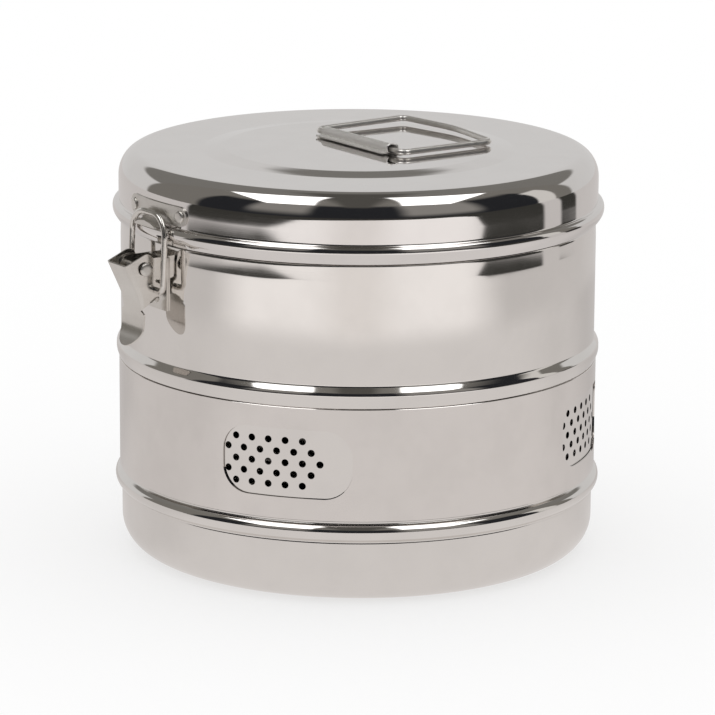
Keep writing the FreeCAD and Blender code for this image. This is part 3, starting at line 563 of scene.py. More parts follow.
window_z = BAND_MIDDLE + np.linspace(-23, 23, 2 * HALF_ROWS + 1)
z0, z1 = BAND_MIDDLE - BAND_HALF, BAND_MIDDLE + BAND_HALF
edge_round, margin = 0.25, 4.0
out_z = np.concatenate(([z0, z0 + edge_round, z0 + margin], window_z, [z1 - margin, z1 - edge_round, z1]))
out_r = BAND_RADIUS - np.array([edge_round] + [0] * (len(out_z) - 2) + [edge_round])
in_z = np.concatenate(([z1, z1 - margin], window_z[::-1], [z0 + margin, z0]))
band_outline = np.column_stack((np.concatenate((out_r, 0 * in_z + BAND_INNER)), np.concatenate((out_z, in_z))))
print("the band is", round(z1 - z0, 1), "mm high, and its windows' edges have",
      len(window_edge(HALF_ROWS, HALF_COLUMNS, *WINDOW, WINDOW_CORNER)[0]), "points")

# %% [markdown]
# ## The lap of the band
#
# The outer end of the strip lies on the other one and bends down to it just behind the lap. So the
# band's outer side is pushed out by one sheet at the lap's edge, all at once, and comes back over two
# degrees, in a smooth curve rather than a block. The grid gets extra columns there to carry the step.

# %% Roll the band
SEAM_ANGLE = math.radians(83.2)
LAP_EDGE, LAP_STEP, LAP_END, LAP_FALL = -2.45, 0.02, 2.0, 2.1    # degrees from the row of rivets

window_gap = np.linspace(HALF_COLUMNS * COLUMN, np.pi / 2 - HALF_COLUMNS * COLUMN, 37)[:-1]
lap = np.radians(np.array([LAP_EDGE, LAP_EDGE + LAP_STEP, -2.3, LAP_END, 2.3, 2.6, 2.9, 3.2, 3.5, 3.8, 4.1]))
quarters = [np.concatenate((np.arange(-HALF_COLUMNS, HALF_COLUMNS) * COLUMN,
                            np.sort(np.append(window_gap, lap + np.pi / 4)) if k == 0 else window_gap))
            for k in range(4)]
band_angles = np.concatenate([WINDOW_ANGLE + k * np.pi / 2 + q for k, q in enumerate(quarters)])
first_column = np.cumsum([0] + [len(q) for q in quarters[:3]])
band_points, band_quads = punch(turned(band_outline, band_angles),
                                grid_quads(len(band_outline), len(band_angles), True, True),
                                (3, len(out_z) + 2 + 2 * HALF_ROWS, window_z), band_angles,
                                (np.full(4, HALF_ROWS), first_column + HALF_COLUMNS),
                                (HALF_ROWS, HALF_COLUMNS),
                                window_edge(HALF_ROWS, HALF_COLUMNS, *WINDOW, WINDOW_CORNER),
                                (BAND_RADIUS, BAND_INNER), rings=3)
around_seam = (np.degrees(np.arctan2(band_points[:, 1], band_points[:, 0]) - SEAM_ANGLE) + 180) % 360 - 180
lap_rise = (np.clip((around_seam - LAP_EDGE) / LAP_STEP, 0, 1)
            * (1 - np.clip((around_seam - LAP_END) / LAP_FALL, 0, 1)) ** 1.5)
outer_side = np.hypot(band_points[:, 0], band_points[:, 1]) > BAND_INNER + 0.3
band_points[:, :2] *= (1 + outer_side * lap_rise * BAND_SHEET / BAND_RADIUS)[:, None]
band_mesh = mesh_from("vent_ring", band_points, band_quads, profile=band_points[:, 2])
true_cylinder(band_mesh, z0 + 0.5, z1 - 0.5)
place(band_mesh, BAND_STEEL, "band_steel", "band", "vent_band")

# %% [markdown]
# ## Bent sheet and bent wire
#
# The small parts are cut from strip and bent, or bent from wire. A strip starts as a surface without
# thickness; the second side is the first one moved by the sheet's thickness against its normals, and
# walls close the border. A wire is a circle carried along a line of straight runs and arcs.

# %% Sheet and wire helpers
def thick_sheet(points, quads, thickness):
    """Closed sheet: each point also at p - thickness n, and a quad along every edge of only one face."""
    points, quads = np.asarray(points, float), np.asarray(quads)
    faces = points[quads]
    normals = np.cross(faces[:, 2] - faces[:, 0], faces[:, 3] - faces[:, 1])
    at_point = np.zeros_like(points)
    for corner in range(4):
        np.add.at(at_point, quads[:, corner], normals)
    at_point /= np.maximum(np.linalg.norm(at_point, axis=1), 1e-9)[:, None]
    edges = np.vstack([np.column_stack((quads[:, k], quads[:, (k + 1) % 4])) for k in range(4)])
    code = edges[:, 0] * len(points) + edges[:, 1]
    border = edges[~np.isin(code, edges[:, 1] * len(points) + edges[:, 0])]
    far = len(points)
    sides = np.column_stack((border[:, 1], border[:, 0], border[:, 0] + far, border[:, 1] + far))
    return np.vstack((points, points - thickness * at_point)), np.vstack((quads, quads[:, ::-1] + far, sides))


def bent(corners, radii, step=0.8):
    """Straight runs joined by arcs, each touching both runs at radius tan(turn / 2) from its corner."""
    corners = np.asarray(corners, float)
    line = [corners[:1]]
    for a, b, c, radius in zip(corners, corners[1:], corners[2:], radii):
        u, w = (a - b) / np.linalg.norm(a - b), (c - b) / np.linalg.norm(c - b)
        turn = np.pi - math.acos(float(np.dot(u, w)))
        centre = b + (u + w) / np.linalg.norm(u + w) * radius / math.cos(turn / 2)
        start, end = (b + v * radius * math.tan(turn / 2) - centre for v in (u, w))
        f = np.linspace(0, 1, max(4, int(radius * turn / step) + 2))[:, None]
        line.append(centre + (np.sin((1 - f) * turn) * start + np.sin(f * turn) * end) / math.sin(turn))
    return evenly(np.vstack(line + [corners[-1:]]), step)


def wire_mesh(name, line, diameter, up, sides=20):
    """Circle carried along the line; up keeps it from twisting, and the ends are closed flat."""
    d = np.gradient(line, axis=0)
    d /= np.linalg.norm(d, axis=1)[:, None]
    u = np.cross(up, d)
    u /= np.linalg.norm(u, axis=1)[:, None]
    v = np.cross(d, u)
    pick = np.concatenate(([0], np.arange(len(line)), [len(line) - 1]))
    radius = np.full(len(pick), diameter / 2)
    radius[[0, -1]] = 0.0
    t = np.linspace(0, 2 * np.pi, sides, endpoint=False)[:, None]
    circles = np.cos(t) * u[pick][:, None] + np.sin(t) * v[pick][:, None]
    rings = line[pick][:, None] + radius[:, None, None] * circles
    return mesh_from(name, rings.reshape(-1, 3), grid_quads(len(pick), sides, close_columns=True), 50.0,
                     profile=np.repeat(length_along(line)[pick], sides), outwards=True)


print("a wire with one bend of 5 mm:", len(bent([(0, 0, 0), (20, 0, 0), (20, 20, 0)], (5,))), "points")

# %% [markdown]
# ## The handle
#
# The bail is one piece of 3.5 mm wire whose two ends meet inside a folded strip, spot welded across the
# lid. It lies flat when it isn't used. Hands have bowed its grip and lifted its far corner a little,
# which shows in its mirror image in the lid, so both are kept.

# %% Bend the bail
BAIL_WIRE, BAIL_Z, FAR_LIFT = 3.5, DISC_Z + 2.6, 0.8
BAIL_HALF, BAIL_REACH, GRIP_BOW, GRIP_RADIUS, CORNER = 44, 64, 6, 88, 5

bail_corners = [(0, 2, BAIL_Z), (0, BAIL_HALF, BAIL_Z), (BAIL_REACH, BAIL_HALF, BAIL_Z),
                (BAIL_REACH + GRIP_BOW, 0, BAIL_Z), (BAIL_REACH, -BAIL_HALF, BAIL_Z), (0, -BAIL_HALF, BAIL_Z),
                (0, -2, BAIL_Z)]
bail_line = bent(bail_corners, (CORNER, CORNER, GRIP_RADIUS, CORNER, CORNER))
bail_line[:, 2] += (FAR_LIFT * np.clip(bail_line[:, 0] / BAIL_REACH, 0, 1)
                    * np.clip((bail_line[:, 1] + BAIL_HALF) / (2 * BAIL_HALF), 0, 1))
place(wire_mesh("bail_wire", bail_line, BAIL_WIRE, (0, 0, 1), 24), BAIL_STEEL, "wire_steel", "bail",
      "handle_bail")
print("handle wire:", round(length_along(bail_line)[-1]), "mm")

# %% [markdown]
# ## The strip of the handle
#
# The strip is folded over the wire into a barrel with a flange on each side. Its section, the line
# flange, barrel, flange, is carried along y. The near end is pressed a little wider than the rest, which
# a bump of exp(-distance / 1.3 mm) gives, so that its rim catches the light.

# %% Fold the strip
STRAP_HALF, STRAP_SHEET, BARREL, FLANGE_END = 34.0, 0.8, 2.65, 7.25

flange_z = DISC_Z + STRAP_SHEET
section = softened(np.vstack(([[FLANGE_END, flange_z], [BARREL, flange_z]],
                              arc((0.0, BAIL_Z), BARREL, 0, 180),
                              [[-BARREL, flange_z], [-FLANGE_END, flange_z]])), 0.3, step=0.05)
section = section[thinned(section, 7.0, 2.0)]
strip_y = np.concatenate(([-STRAP_HALF, -33.6, -33.0, -32.2, -31.0], np.linspace(-28, 28, 15),
                          [31.0, 33.0, STRAP_HALF]))
strip_y, strip_x = np.meshgrid(strip_y, section[:, 0])
strip_z = np.broadcast_to(section[:, 1:], strip_y.shape)
flare = np.exp(-(strip_y + STRAP_HALF) / 1.3) * np.clip((strip_z - flange_z - 0.6) / 3.0, 0, 1)
strip = np.stack((strip_x * (1 + 0.3 * flare), strip_y - 1.6 * flare * np.clip(strip_x / BARREL, -0.4, 1),
                  strip_z + 0.7 * flare), axis=-1)
strap_points, strap_quads = thick_sheet(strip.reshape(-1, 3), grid_quads(*strip.shape[:2])[:, ::-1],
                                        STRAP_SHEET)
place(mesh_from("handle_strip", strap_points, strap_quads, 45.0, profile=strap_points[:, 0]), STRIP_STEEL,
      "latch_steel", "lid", "handle_strap")

# %% [markdown]
# ## The latches
#
# A latch is a lever folded from 1 mm sheet into a channel, with a tab for the finger, and a wire loop
# that its lower end carries. The loop's top bar drops behind the tongue of a strap riveted to the lid;
# pushing the lever down pulls the loop tight. Both latches are alike, so each piece is worked out
# once for the one on +X and turned by half a turn for the other.
#
# The lever is a grid: each row runs from the rear edge of one flange round its fold, over the web and
# back along the other flange. The tab continues only the web's columns downwards.

# %% Draw the lever's side
PIVOT_X, PIVOT_Z = 154.6, 186.0
LEVER_HALF, LEVER_SHEET, FOLD = 10.2, 1.0, 1.2
LOOP_X, LOOP_Z, LOBE = 147.4, 173.0, 4.3
LEVER_TOP, FLANGE_FOOT, TAB_TOP, TAB_HALF, LEVER_ROWS = 2.6, -24.2, -33.3, 11.5, 30    # from the pivot

face = softened([(8.8, -44.8), (4.4, -39.2), (2.6, -36.0), (1.9, -27.0), (3.6, -17.0), (12.9, LEVER_TOP)], 2.0)
rear = evenly(np.vstack((arc((LOOP_X - PIVOT_X, LOOP_Z - PIVOT_Z), LOBE, 270, 90, 20),
                         [[-6.6, -7.0], [-6.4, 3.0], [-5.6, 5.8], [-4.0, 7.7], [-2.0, 8.4], [0.0, 8.4]])), 0.3)
rear = rear[np.linspace(0, len(rear) - 1, LEVER_ROWS).astype(int)]
front_z = np.linspace(FLANGE_FOOT, LEVER_TOP, LEVER_ROWS)[:, None]
front_x = np.interp(front_z, face[:, 1], face[:, 0])
print("the flange is", round(float(np.max(front_x - rear[:, :1])), 1), "mm deep at most")

# %% Fold the lever
to_fold = np.linspace(1, 0, 11)[None, :-1]
fold_t = np.radians(np.linspace(90, 0, 9))[None]
run = front_x - FOLD - rear[:, :1]
slope = (rear[:, 1:] - front_z) / (run + FOLD * np.pi / 2)
web_y = np.linspace(LEVER_HALF - FOLD, 0, 6)[None, 1:] + 0 * front_x
half_x = np.hstack((front_x - FOLD - to_fold * run, front_x - FOLD + FOLD * np.cos(fold_t),
                    front_x + 0 * web_y))
half_y = np.hstack((LEVER_HALF + 0 * front_x + 0 * to_fold,
                    LEVER_HALF - FOLD + FOLD * np.sin(fold_t) + 0 * front_x, web_y))
half_z = np.hstack((front_z + (to_fold * run + FOLD * np.pi / 2) * slope, front_z + FOLD * fold_t * slope,
                    front_z + 0 * web_y))
body_grid = np.stack((np.hstack((half_x, half_x[:, -2::-1])), np.hstack((-half_y, half_y[:, -2::-1])),
                      np.hstack((half_z, half_z[:, -2::-1]))), axis=-1)
web = slice(to_fold.size + fold_t.size - 1, body_grid.shape[1] - to_fold.size - fold_t.size + 1)

bow = np.radians(np.append(np.linspace(90, 10, 12), 0))
tab_z = np.append(TAB_TOP - TAB_HALF * np.sin(bow), np.linspace(TAB_TOP, FLANGE_FOOT, 6)[1:-1])
tab_half = np.append(TAB_HALF * np.cos(bow), [TAB_HALF, TAB_HALF, TAB_HALF + 0.1, TAB_HALF + 0.1])
tab_grid = np.full((len(tab_z), body_grid.shape[1], 3), np.nan)
tab_grid[:, web, 0] = np.interp(tab_z, face[:, 1], face[:, 0])[:, None]
tab_grid[:, web, 1] = tab_half[:, None] * body_grid[0, web, 1] / (LEVER_HALF - FOLD)
tab_grid[:, web, 2] = tab_z[:, None]
lever_grid = np.concatenate((tab_grid, body_grid)).reshape(-1, 3)
lever_quads = grid_quads(len(tab_z) + LEVER_ROWS, body_grid.shape[1])
lever_quads = lever_quads[~np.isnan(lever_grid[lever_quads][:, :, 0]).any(axis=1)]
used, renumbered = np.unique(lever_quads, return_inverse=True)
lever_points, lever_quads = thick_sheet(lever_grid[used] + (PIVOT_X, 0, PIVOT_Z),
                                        renumbered.reshape(-1, 4), LEVER_SHEET)
print("the lever is", round(float(np.ptp(lever_points[:, 2])), 1), "mm high")

# %% [markdown]
# ## Both latches from one set of pieces
#
# The left latch is the right one turned by half a turn, which changes the signs of x and y and keeps the
# faces' winding. Tumbling breaks the sheared edges, and a narrow Bevel modifier stands for that.

# %% Place the levers
SIDES = {"right": np.ones(3), "left": np.array([-1.0, -1.0, 1.0])}


def broken_edges(piece, width=0.22):
    """The tumbled edge of pressed sheet, a bevel of width mm on every sharp edge."""
    bevel = piece.modifiers.new("tumbled edge", "BEVEL")
    bevel.width, bevel.segments, bevel.limit_method = width * MM, 2, "ANGLE"
    bevel.angle_limit, bevel.harden_normals = math.radians(45), False


for side, turn in SIDES.items():
    lever = place(mesh_from(side + "_lever", lever_points * turn, lever_quads, 45.0), LATCH_STEEL,
                  "latch_steel", side + "_lever", side + "_latch_lever")
    broken_edges(lever)

# %% [markdown]
# ## The wire loop
#
# The loop's arched top is bent round a 25 mm former, and its ends turn in through the lever's lobes. It
# is drawn upright through its ends and then leant in, so that the bar meets the tongue of the catch.

# %% Bend the loop
LOOP_WIRE, LOOP_HALF, LOOP_HEIGHT, BAR_X, LOOP_END = 3.6, 17.2, 43.5, 145.4, 10.4
FORMER, LOOP_CORNER = 12.5, 3.2

lean = math.atan2(BAR_X - LOOP_X, LOOP_HEIGHT)
loop_line = bent([(0, LOOP_END, 0), (0, LOOP_HALF, 0), (0, LOOP_HALF, LOOP_HEIGHT),
                  (0, -LOOP_HALF, LOOP_HEIGHT), (0, -LOOP_HALF, 0), (0, -LOOP_END, 0)],
                 (LOOP_CORNER, FORMER, FORMER, LOOP_CORNER), 0.6)
loop_line = np.column_stack((LOOP_X + loop_line[:, 2] * math.sin(lean), loop_line[:, 1],
                             LOOP_Z + loop_line[:, 2] * math.cos(lean)))
for side, turn in SIDES.items():
    place(wire_mesh(side + "_loop", loop_line * turn, LOOP_WIRE, (turn[0], 0, 0), 22), WIRE_STEEL,
          "wire_steel", side + "_wire", side + "_wire_loop")

# %% [markdown]
# ## The bracket in the lever
#
# What carries the lever's pivot is hidden in it: a plate that follows the wall, with an ear on each side
# that ends in a half circle of 5.5 mm round the pivot. The plate and the ears are three sheets that
# meet at the fold.

# %% Fold the bracket
PLATE_HALF, PLATE_LOW, PLATE_HIGH, WALL_R = 10.9, 160.0, 191.0, 140.05
EAR_Y, EAR, BRACKET_SHEET = 8.1, 5.5, 1.2

plate_s, plate_z = np.meshgrid(np.linspace(-PLATE_HALF, PLATE_HALF, 13),
                               np.linspace(PLATE_LOW, PLATE_HIGH, 9))
plate_r = WALL_R + BRACKET_SHEET
plate = np.stack((plate_r * np.cos(plate_s / plate_r), plate_r * np.sin(plate_s / plate_r), plate_z), axis=-1)
ear_x = np.append(np.linspace(plate_r - 0.6, PIVOT_X, 6),
                  PIVOT_X + EAR * np.sin(np.radians([20, 40, 60, 75, 90])))
tip = np.sqrt(np.clip(EAR ** 2 - np.clip(ear_x - PIVOT_X, 0, None) ** 2, 0.01, None))
low_edge = -tip - 2.5 * np.clip((PIVOT_X - ear_x) / (PIVOT_X - plate_r), 0, 1)
up = np.linspace(0, 1, 5)[:, None]
ear = np.stack((ear_x + 0 * up, EAR_Y + BRACKET_SHEET / 2 + 0 * ear_x + 0 * up,
                PIVOT_Z + low_edge + up * (tip - low_edge)), axis=-1)
bracket_points, bracket_quads = thick_sheet(plate.reshape(-1, 3), grid_quads(*plate.shape[:2]), BRACKET_SHEET)
ear_points, ear_quads = thick_sheet(ear.reshape(-1, 3), grid_quads(*ear.shape[:2])[:, ::-1], BRACKET_SHEET)
for points, quads in ((ear_points, ear_quads), (ear_points * (1, -1, 1), ear_quads[:, ::-1])):
    bracket_quads = np.vstack((bracket_quads, quads + len(bracket_points)))
    bracket_points = np.vstack((bracket_points, points))
print("the bracket stands", round(float(bracket_points[:, 0].max() - WALL_R), 1), "mm off the wall")

# %% [markdown]
# ## The catch on the lid
#
# The catch is a strap with round ends that follows the skirt, tumbled to a rough finish, with a base colour
# painted a darker grey as painted shade, and a hook whose domed tongue stands in front of the bar. The
# strap is a grid whose columns grow shorter towards the ends, h = r cos t, and the tongue's half width at
# a depth d below its top is (d (2R - d))^(1/2).

# %% Cut the strap
CATCH_R, CATCH_SHEET, CATCH_Z, CATCH_HALF, RIVET_ARC = 142.05, 1.0, 217.0, 5.65, 23.6

end_t = np.radians(np.linspace(90, 0, 9))
strap_s = np.concatenate((-RIVET_ARC - CATCH_HALF * np.sin(end_t),
                          np.linspace(-RIVET_ARC, RIVET_ARC, 25)[1:-1],
                          RIVET_ARC + CATCH_HALF * np.sin(end_t[::-1])))
strap_h = np.concatenate((CATCH_HALF * np.cos(end_t), np.full(23, CATCH_HALF),
                          CATCH_HALF * np.cos(end_t[::-1])))
level = np.linspace(-1, 1, 7)[:, None]
strap_grid = np.stack((CATCH_R * np.cos(strap_s / CATCH_R) + 0 * level,
                       CATCH_R * np.sin(strap_s / CATCH_R) + 0 * level, CATCH_Z + strap_h * level), axis=-1)
catch_points, catch_quads = thick_sheet(strap_grid.reshape(-1, 3), grid_quads(*strap_grid.shape[:2]),
                                        CATCH_SHEET)
print("the strap is", round(float(np.ptp(strap_s)), 1), "mm long")

# %% Bend the hook
HOOK_SHEET, HOOK_FLOOR, HOOK_TOP, HOOK_HALF, TONGUE_X, TONGUE_HALF = 0.9, 208.9, 212.3, 11.8, 148.6, 11.0

tongue = HOOK_TOP - HOOK_FLOOR
hook_line = softened([(141.9, HOOK_FLOOR + 3.45), (142.3, HOOK_FLOOR + 2.15), (145.7, HOOK_FLOOR),
                      (TONGUE_X - 0.5, HOOK_FLOOR), (TONGUE_X, HOOK_TOP)], 0.35, step=0.05)
hook_line = inner_side(hook_line[thinned(hook_line, 8.0, 1.0)], -HOOK_SHEET / 2)
dome = (TONGUE_HALF ** 2 + tongue ** 2) / 2 / tongue
depth = np.clip(HOOK_TOP - hook_line[:, 1], 0, tongue)
depth[-1] = 0.0
hook_half = np.where(hook_line[:, 0] > TONGUE_X - 0.3, np.sqrt(depth * (2 * dome - depth)), HOOK_HALF)
across_hook = np.linspace(-1, 1, 25)[None]
hook_grid = np.stack((hook_line[:, :1] + 0 * across_hook, hook_half[:, None] * across_hook,
                      hook_line[:, 1:] + 0 * across_hook), axis=-1)
hook_points, hook_quads = thick_sheet(hook_grid.reshape(-1, 3), grid_quads(*hook_grid.shape[:2]), HOOK_SHEET)
both_points = np.vstack((catch_points, hook_points))
both_quads = np.vstack((catch_quads, hook_quads + len(catch_points)))
for side, turn in SIDES.items():
    catch = place(mesh_from(side + "_catch", both_points * turn, both_quads, 45.0), CATCH_STEEL,
                  "latch_steel", "lid", side + "_lid_catch")
    broken_edges(catch, 0.15)

# %% [markdown]
# ## Rivets
#
# Rivet heads are nearly flat, and fall off at the rim as (1 - (d/R)^5)^(1/2), so most of a head mirrors
# one place and only its rim runs through the room. All of them come from one function, which puts a
# head on each of its seats and a shank into the sheet.

# %% Head the rivets
def rivet_heads(name, seats, directions, radius, height, shank=0.0):
    """Low heads: height (0.4 + 0.6 (1 - (d/R)^5)^(1/2)) over rings of d = 0 to R, and a shank of R/2 below."""
    ring = np.array([0, 0.3, 0.55, 0.72, 0.84, 0.92, 0.97, 0.99, 1.0, 1.0, 0.5, 0.5, 0.0])
    head = 0.4 + 0.6 * np.sqrt(1 - ring[:9] ** 5)
    lift = np.concatenate((head, [0.0, 0.0, -shank / height, -shank / height]))
    t = np.linspace(0, 2 * np.pi, 28, endpoint=False)
    seats, w = np.asarray(seats, float), np.asarray(directions, float)
    w /= np.linalg.norm(w, axis=1)[:, None]
    u = np.cross((0.0, 0.0, 1.0), w)
    v = np.cross(w, u)
    circle = np.cos(t)[:, None] * u[:, None, None] + np.sin(t)[:, None] * v[:, None, None]
    points = (seats[:, None, None] + radius * ring[:, None, None] * circle
              + height * lift[:, None, None] * w[:, None, None])
    quads = grid_quads(len(ring), len(t), close_columns=True)[:, ::-1]
    every = (quads + (np.arange(len(seats)) * len(ring) * len(t))[:, None, None]).reshape(-1, 4)
    return mesh_from(name, points.reshape(-1, 3), every, 38.0, outwards=True)


def on_wall(radius, angles, heights):
    """Places and outward directions on a round wall: radius (cos a, sin a) at height z."""
    out = np.stack((np.cos(angles), np.sin(angles), 0 * angles), axis=-1)
    return out * radius + np.outer(heights, (0, 0, 1)), out


SEAM_RIVET, CATCH_RIVET, BRACKET_RIVET = (2.4, 0.9, 1.2), (3.5, 1.2, 0.9), (2.6, 1.2, 1.0)
PIVOT_HEAD, LEVER_CHEEK = (3.9, 1.5, LEVER_HALF), LEVER_HALF + LEVER_SHEET + 0.05

seam_z = z0 + (np.arange(4) + 0.5) * (z1 - z0) / 4
seam_seats = on_wall(BAND_RADIUS + BAND_SHEET, np.full(4, SEAM_ANGLE), seam_z)
place(rivet_heads("seam_rivet_heads", *seam_seats, *SEAM_RIVET), RIVET_STEEL, "rivet_steel", "band",
      "band_seam_rivets")
for side, turn in SIDES.items():
    facing = 0.0 if side == "right" else np.pi
    catch_seats = on_wall(CATCH_R, np.array([-1.0, 1.0]) * RIVET_ARC / LID_RADIUS + facing, np.full(2, CATCH_Z))
    place(rivet_heads(side + "_catch_rivet_heads", *catch_seats, *CATCH_RIVET), RIVET_STEEL, "rivet_steel",
          "lid", side + "_catch_rivets")
    plate_seats = on_wall(WALL_R + BRACKET_SHEET, np.full(2, facing), np.array([166.0, 175.5]))
    place(rivet_heads(side + "_bracket_rivet_heads", *plate_seats, *BRACKET_RIVET), RIVET_STEEL,
          "rivet_steel", "drum", side + "_bracket_rivets")
    ends = np.array([[PIVOT_X, -LEVER_CHEEK, PIVOT_Z], [PIVOT_X, LEVER_CHEEK, PIVOT_Z]]) * turn
    place(rivet_heads(side + "_pivot_heads", ends, ends * (0, 1, 0), *PIVOT_HEAD), RIVET_STEEL,
          "rivet_steel", "drum", side + "_lever_pivot")
    place(mesh_from(side + "_bracket", bracket_points * turn, bracket_quads, 45.0), LATCH_STEEL,
          "latch_steel", "drum", side + "_latch_bracket")

# %% [markdown]
# ## The studio
#
# Polished steel has no look of its own: it shows the room. The world is that room, painted by direction:
# degrees round from the camera and degrees up. Behind the drum and low at its sides stands white paper.
# In front is a grey room with a dark wall, on which two paler pillars stand, and with a light panel at
# its side. A camera ray sees plain white instead, and soft light for the floor is white from everywhere.

# %% Directions in the room
CAMERA_SIDE, CAMERA_HEIGHT_ANGLE, CAMERA_DISTANCE = math.radians(-125.0), math.radians(13.6), 2500.0
DEGREE = 180 / math.pi

world = bpy.data.worlds.new("photo studio")
bpy.context.scene.world = world
world.use_nodes = True
room = world.node_tree
room.nodes.clear()
ray = add(room, "ShaderNodeTexCoord").outputs["Generated"]
ray = add(room, "ShaderNodeVectorRotate", {"rotation_type": "Z_AXIS"}, Vector=ray, Angle=-CAMERA_SIDE)
x, y, z = add(room, "ShaderNodeSeparateXYZ", Vector=ray).outputs
azimuth = add(room, MATH, TIMES, _0=add(room, MATH, ARCTAN, _0=y, _1=x), _1=DEGREE)
elevation = add(room, MATH, TIMES, _0=add(room, MATH, ARCSINE, _0=z), _1=DEGREE)


def within(tree, value, low, high, soft):
    """1 where value lies between low and high and 0 outside, with borders that are soft wide."""
    start = add(tree, RANGE, SOFT, Value=value, From_Min=low - soft / 2, From_Max=low + soft / 2)
    return add(tree, RANGE, SOFT, Value=value, From_Min=high - soft / 2, From_Max=high + soft / 2,
               To_Min=start, To_Max=0.0)


def paint(tree, below, masks, colour, strength=1.0):
    """Lays a colour over what is below where every mask is 1: the masks are multiplied."""
    mask = masks[0]
    for other in masks[1:]:
        mask = add(tree, MATH, TIMES, _0=mask, _1=other)
    r, g, b, _ = linear(colour)
    return add(tree, MIX, COLOURS, Factor=mask, _6=below,
               _7=(r * strength, g * strength, b * strength, 1.0)).outputs[2]


print("the camera looks down by", round(CAMERA_HEIGHT_ANGLE * DEGREE, 1), "degrees")

# %% [markdown]
# ## The walls and the softboxes
#
# Each patch of wall is a span of azimuth and one of elevation, with how soft its borders are, and later
# patches lie over earlier ones. What hangs overhead is painted on a level ceiling instead, where
# x/z and y/z of the ray are distances: a dark beam, and two long softboxes turned by 18 degrees, which
# give the bright bands of the lid and the beads.

# %% Paint the room
PATCHES = [((-119, 121, 3), (-9, 100, 2), "#7A7772"),     # the grey room in front of the drum
           ((-82, 96, 5), (-9, 44, 10), "#26272A"),       # its dark wall
           ((-54, -24, 8), (10, 60, 24), "#8A8783"),      # the left pillar
           ((22, 60, 10), (4, 56, 16), "#8D8A86"),        # the right pillar
           ((94, 107, 2), (-9, 34, 4), "#D9D6D2")]        # the light panel
SOFTBOX_TURN, SOFTBOX_ALONG, SOFTBOX_ACROSS = math.radians(18.0), (0.0, 0.98, 0.08), (-0.66, -0.12, 0.04)

overhead = within(room, elevation, 20, 100, 3)
studio = paint(room, linear("#D5D4D3"), [within(room, elevation, 24, 100, 3)], "#7C7A76")
for sideways, upwards, colour in PATCHES:
    studio = paint(room, studio, [within(room, azimuth, *sideways), within(room, elevation, *upwards)], colour)
ahead, aside = add(room, MATH, OVER, _0=x, _1=z), add(room, MATH, OVER, _0=y, _1=z)
studio = paint(room, studio, [within(room, aside, -0.16, 0.15, 0.12), within(room, ahead, -0.7, 1.2, 0.5),
                              overhead], "#53514D")


def softbox(mirror):
    """The mask of a softbox that hangs level and turned by t: along = ahead cos t - outward sin t, and
    across = ahead sin t + outward cos t. mirror is 1 on the left and -1 on the right."""
    c, s = math.cos(SOFTBOX_TURN), math.sin(SOFTBOX_TURN)
    outward = add(room, MATH, TIMES, _0=aside, _1=mirror)
    along = add(room, MATH, MINUS, _0=add(room, MATH, TIMES, _0=ahead, _1=c),
                _1=add(room, MATH, TIMES, _0=outward, _1=s))
    across = add(room, MATH, PLUS, _0=add(room, MATH, TIMES, _0=ahead, _1=s),
                 _1=add(room, MATH, TIMES, _0=outward, _1=c))
    return [within(room, along, *SOFTBOX_ALONG), within(room, across, *SOFTBOX_ACROSS), overhead]


for mirror in (1.0, -1.0):
    studio = paint(room, studio, softbox(mirror), "#FFFFFF", 2.2)
kinds = add(room, "ShaderNodeLightPath").outputs
seen = add(room, MATH, PLUS, _0=kinds["Is Glossy Ray"], _1=kinds["Is Transmission Ray"])
lit = add(room, MIX, COLOURS, Factor=seen, _6=(1.0, 1.0, 1.0, 1.0), _7=studio).outputs[2]
add(room, "ShaderNodeOutputWorld", Surface=add(room, "ShaderNodeBackground", Color=lit, Strength=1.0))
print("the room has", len(room.nodes), "nodes")

# %% [markdown]
# ## The table
#
# The floor is a white laminate table. The lower half of the drum mirrors it, so it is painted too, with
# painted light and shade by bearing and distance from the drum: darker within about 0.8 m of the drum,
# as painted shade, paler in front, where the lamps reach it, and dark past its near edge, where it ends.
# Only mirror rays see that paint. The camera sees plain white with a soft shadow, because 60 percent of
# the white glows and the rest is lit.

# %% Lay the table
FLOOR, GLOW = 4500.0, 0.6
DARK_FLOOR = "#3A3936"

floor_mesh = mesh_from("table_top", np.array([[-1, -1, 0], [1, -1, 0], [1, 1, 0], [-1, 1, 0]]) * FLOOR,
                       [[0, 1, 2, 3]])
floor = bpy.data.objects.new("table_top", floor_mesh)
bpy.context.scene.collection.objects.link(floor)
table = bpy.data.materials.new("white laminate table")
table.use_nodes = True
top = table.node_tree
top.nodes.clear()
spot = add(top, "ShaderNodeTexCoord").outputs["Object"]
spot = add(top, "ShaderNodeVectorRotate", {"rotation_type": "Z_AXIS"}, Vector=spot, Angle=-CAMERA_SIDE)
away = add(top, "ShaderNodeVectorMath", {"operation": "LENGTH"}, _0=spot).outputs["Value"]
x, y, _ = add(top, "ShaderNodeSeparateXYZ", Vector=spot).outputs
bearing = add(top, MATH, TIMES, _0=add(top, MATH, ARCTAN, _0=y, _1=x), _1=DEGREE)
# The mask of where the painted shade round the drum ends.
beyond = add(top, RANGE, SOFT, Value=away, From_Min=0.755, From_Max=0.845)    # 1 from about 0.8 m off
print("the table is", 2 * FLOOR * MM, "m wide")

# %% Paint what the drum mirrors of it
# Painted shade and light: darker within about 0.8 m of the drum, where its shadow falls, and paler in the
# sectors in front and further off, where the lamps reach the table.
laminate_light_and_shade = linear("#C6C2C0")
for sector, colour in (((-125, 122, 30), "#D6D2D0"), ((-62, 88, 30), "#DFDBD9")):
    laminate_light_and_shade = paint(top, laminate_light_and_shade, [within(top, bearing, *sector)], colour)
for sector, colour in (((-200, 200, 1), "#D0CCCA"), ((-60, 60, 26), "#FFFBF9"), ((-13, 13, 22), "#EFEAE7")):
    laminate_light_and_shade = paint(top, laminate_light_and_shade, [within(top, bearing, *sector), beyond], colour)
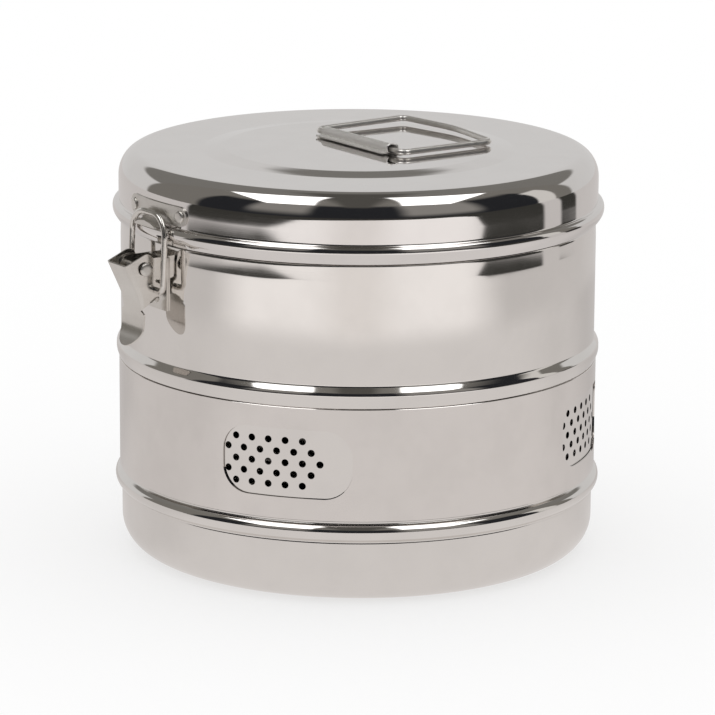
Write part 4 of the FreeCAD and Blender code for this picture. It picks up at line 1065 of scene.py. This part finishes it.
# The table's edge lies 1.17 m off on the left, 1.8 m in front and 1.1 m on the right.
edge = add(top, MATH, PLUS,
           _0=add(top, RANGE, SOFT, Value=bearing, From_Min=-46, From_Max=8, To_Min=1.17, To_Max=1.8),
           _1=add(top, RANGE, SOFT, Value=bearing, From_Min=42, From_Max=62, To_Min=0.0, To_Max=-0.70))
past_edge = add(top, RANGE, SOFT, Value=add(top, MATH, MINUS, _0=away, _1=edge), From_Min=-0.03, From_Max=0.03)
laminate_light_and_shade = paint(top, laminate_light_and_shade, [within(top, bearing, -84, 94, 3), past_edge], DARK_FLOOR)
past_side = add(top, RANGE, SOFT, Value=away, From_Min=1.09, From_Max=1.15)
laminate_light_and_shade = paint(top, laminate_light_and_shade, [within(top, bearing, 107, 121, 3), past_side], DARK_FLOOR)
kinds = add(top, "ShaderNodeLightPath").outputs
mirrored = add(top, MATH, PLUS, _0=kinds["Is Glossy Ray"], _1=kinds["Is Transmission Ray"])
pale = add(top, MATH, TIMES, _0=kinds["Is Camera Ray"], _1=GLOW)
shaded = add(top, "ShaderNodeMixShader", _0=pale, _1=add(top, "ShaderNodeBsdfDiffuse", Color=linear("#FFFFFF")),
             _2=add(top, "ShaderNodeEmission", Color=linear("#FFFFFF"), Strength=1.0))
painted = add(top, "ShaderNodeEmission", Color=laminate_light_and_shade, Strength=1.0)
add(top, "ShaderNodeOutputMaterial",
    Surface=add(top, "ShaderNodeMixShader", _0=mirrored, _1=shaded, _2=painted))
floor_mesh.materials.append(table)
print("the table has", len(top.nodes), "nodes")

# %% [markdown]
# ## The camera
#
# The photo was taken from some way off with a long lens, which is why the drum's sides look parallel.
# The camera stands 2.5 m from a point on the drum's axis, and its lens follows from how many pixels a
# millimetre takes there. It is rolled by a third of a degree, as a hand held camera is.

# %% Set up the camera
TARGET_Z, ROLL_ANGLE, PIXELS_PER_MM, IMAGE_SIZE, SENSOR = 111.9, math.radians(0.35), 1.683, 715, 36.0

camera_data = bpy.data.cameras.new("camera")
camera = bpy.data.objects.new("camera", camera_data)
bpy.context.scene.collection.objects.link(camera)
bpy.context.scene.camera = camera
back = np.array([math.cos(CAMERA_SIDE) * math.cos(CAMERA_HEIGHT_ANGLE),
                 math.sin(CAMERA_SIDE) * math.cos(CAMERA_HEIGHT_ANGLE), math.sin(CAMERA_HEIGHT_ANGLE)])
camera.location = (np.array([0.0, 0.0, TARGET_Z]) + back * CAMERA_DISTANCE) * MM
camera.rotation_mode = "QUATERNION"
camera.rotation_quaternion = (Vector(-back).to_track_quat("-Z", "Y")
                              @ Quaternion((0, 0, 1), ROLL_ANGLE))
camera_data.sensor_width = SENSOR
camera_data.lens = SENSOR * PIXELS_PER_MM * CAMERA_DISTANCE / IMAGE_SIZE
camera_data.clip_start, camera_data.clip_end = 0.1, 30.0
bpy.context.scene.view_settings.view_transform = "Standard"
print("lens", round(camera_data.lens, 1), "mm")
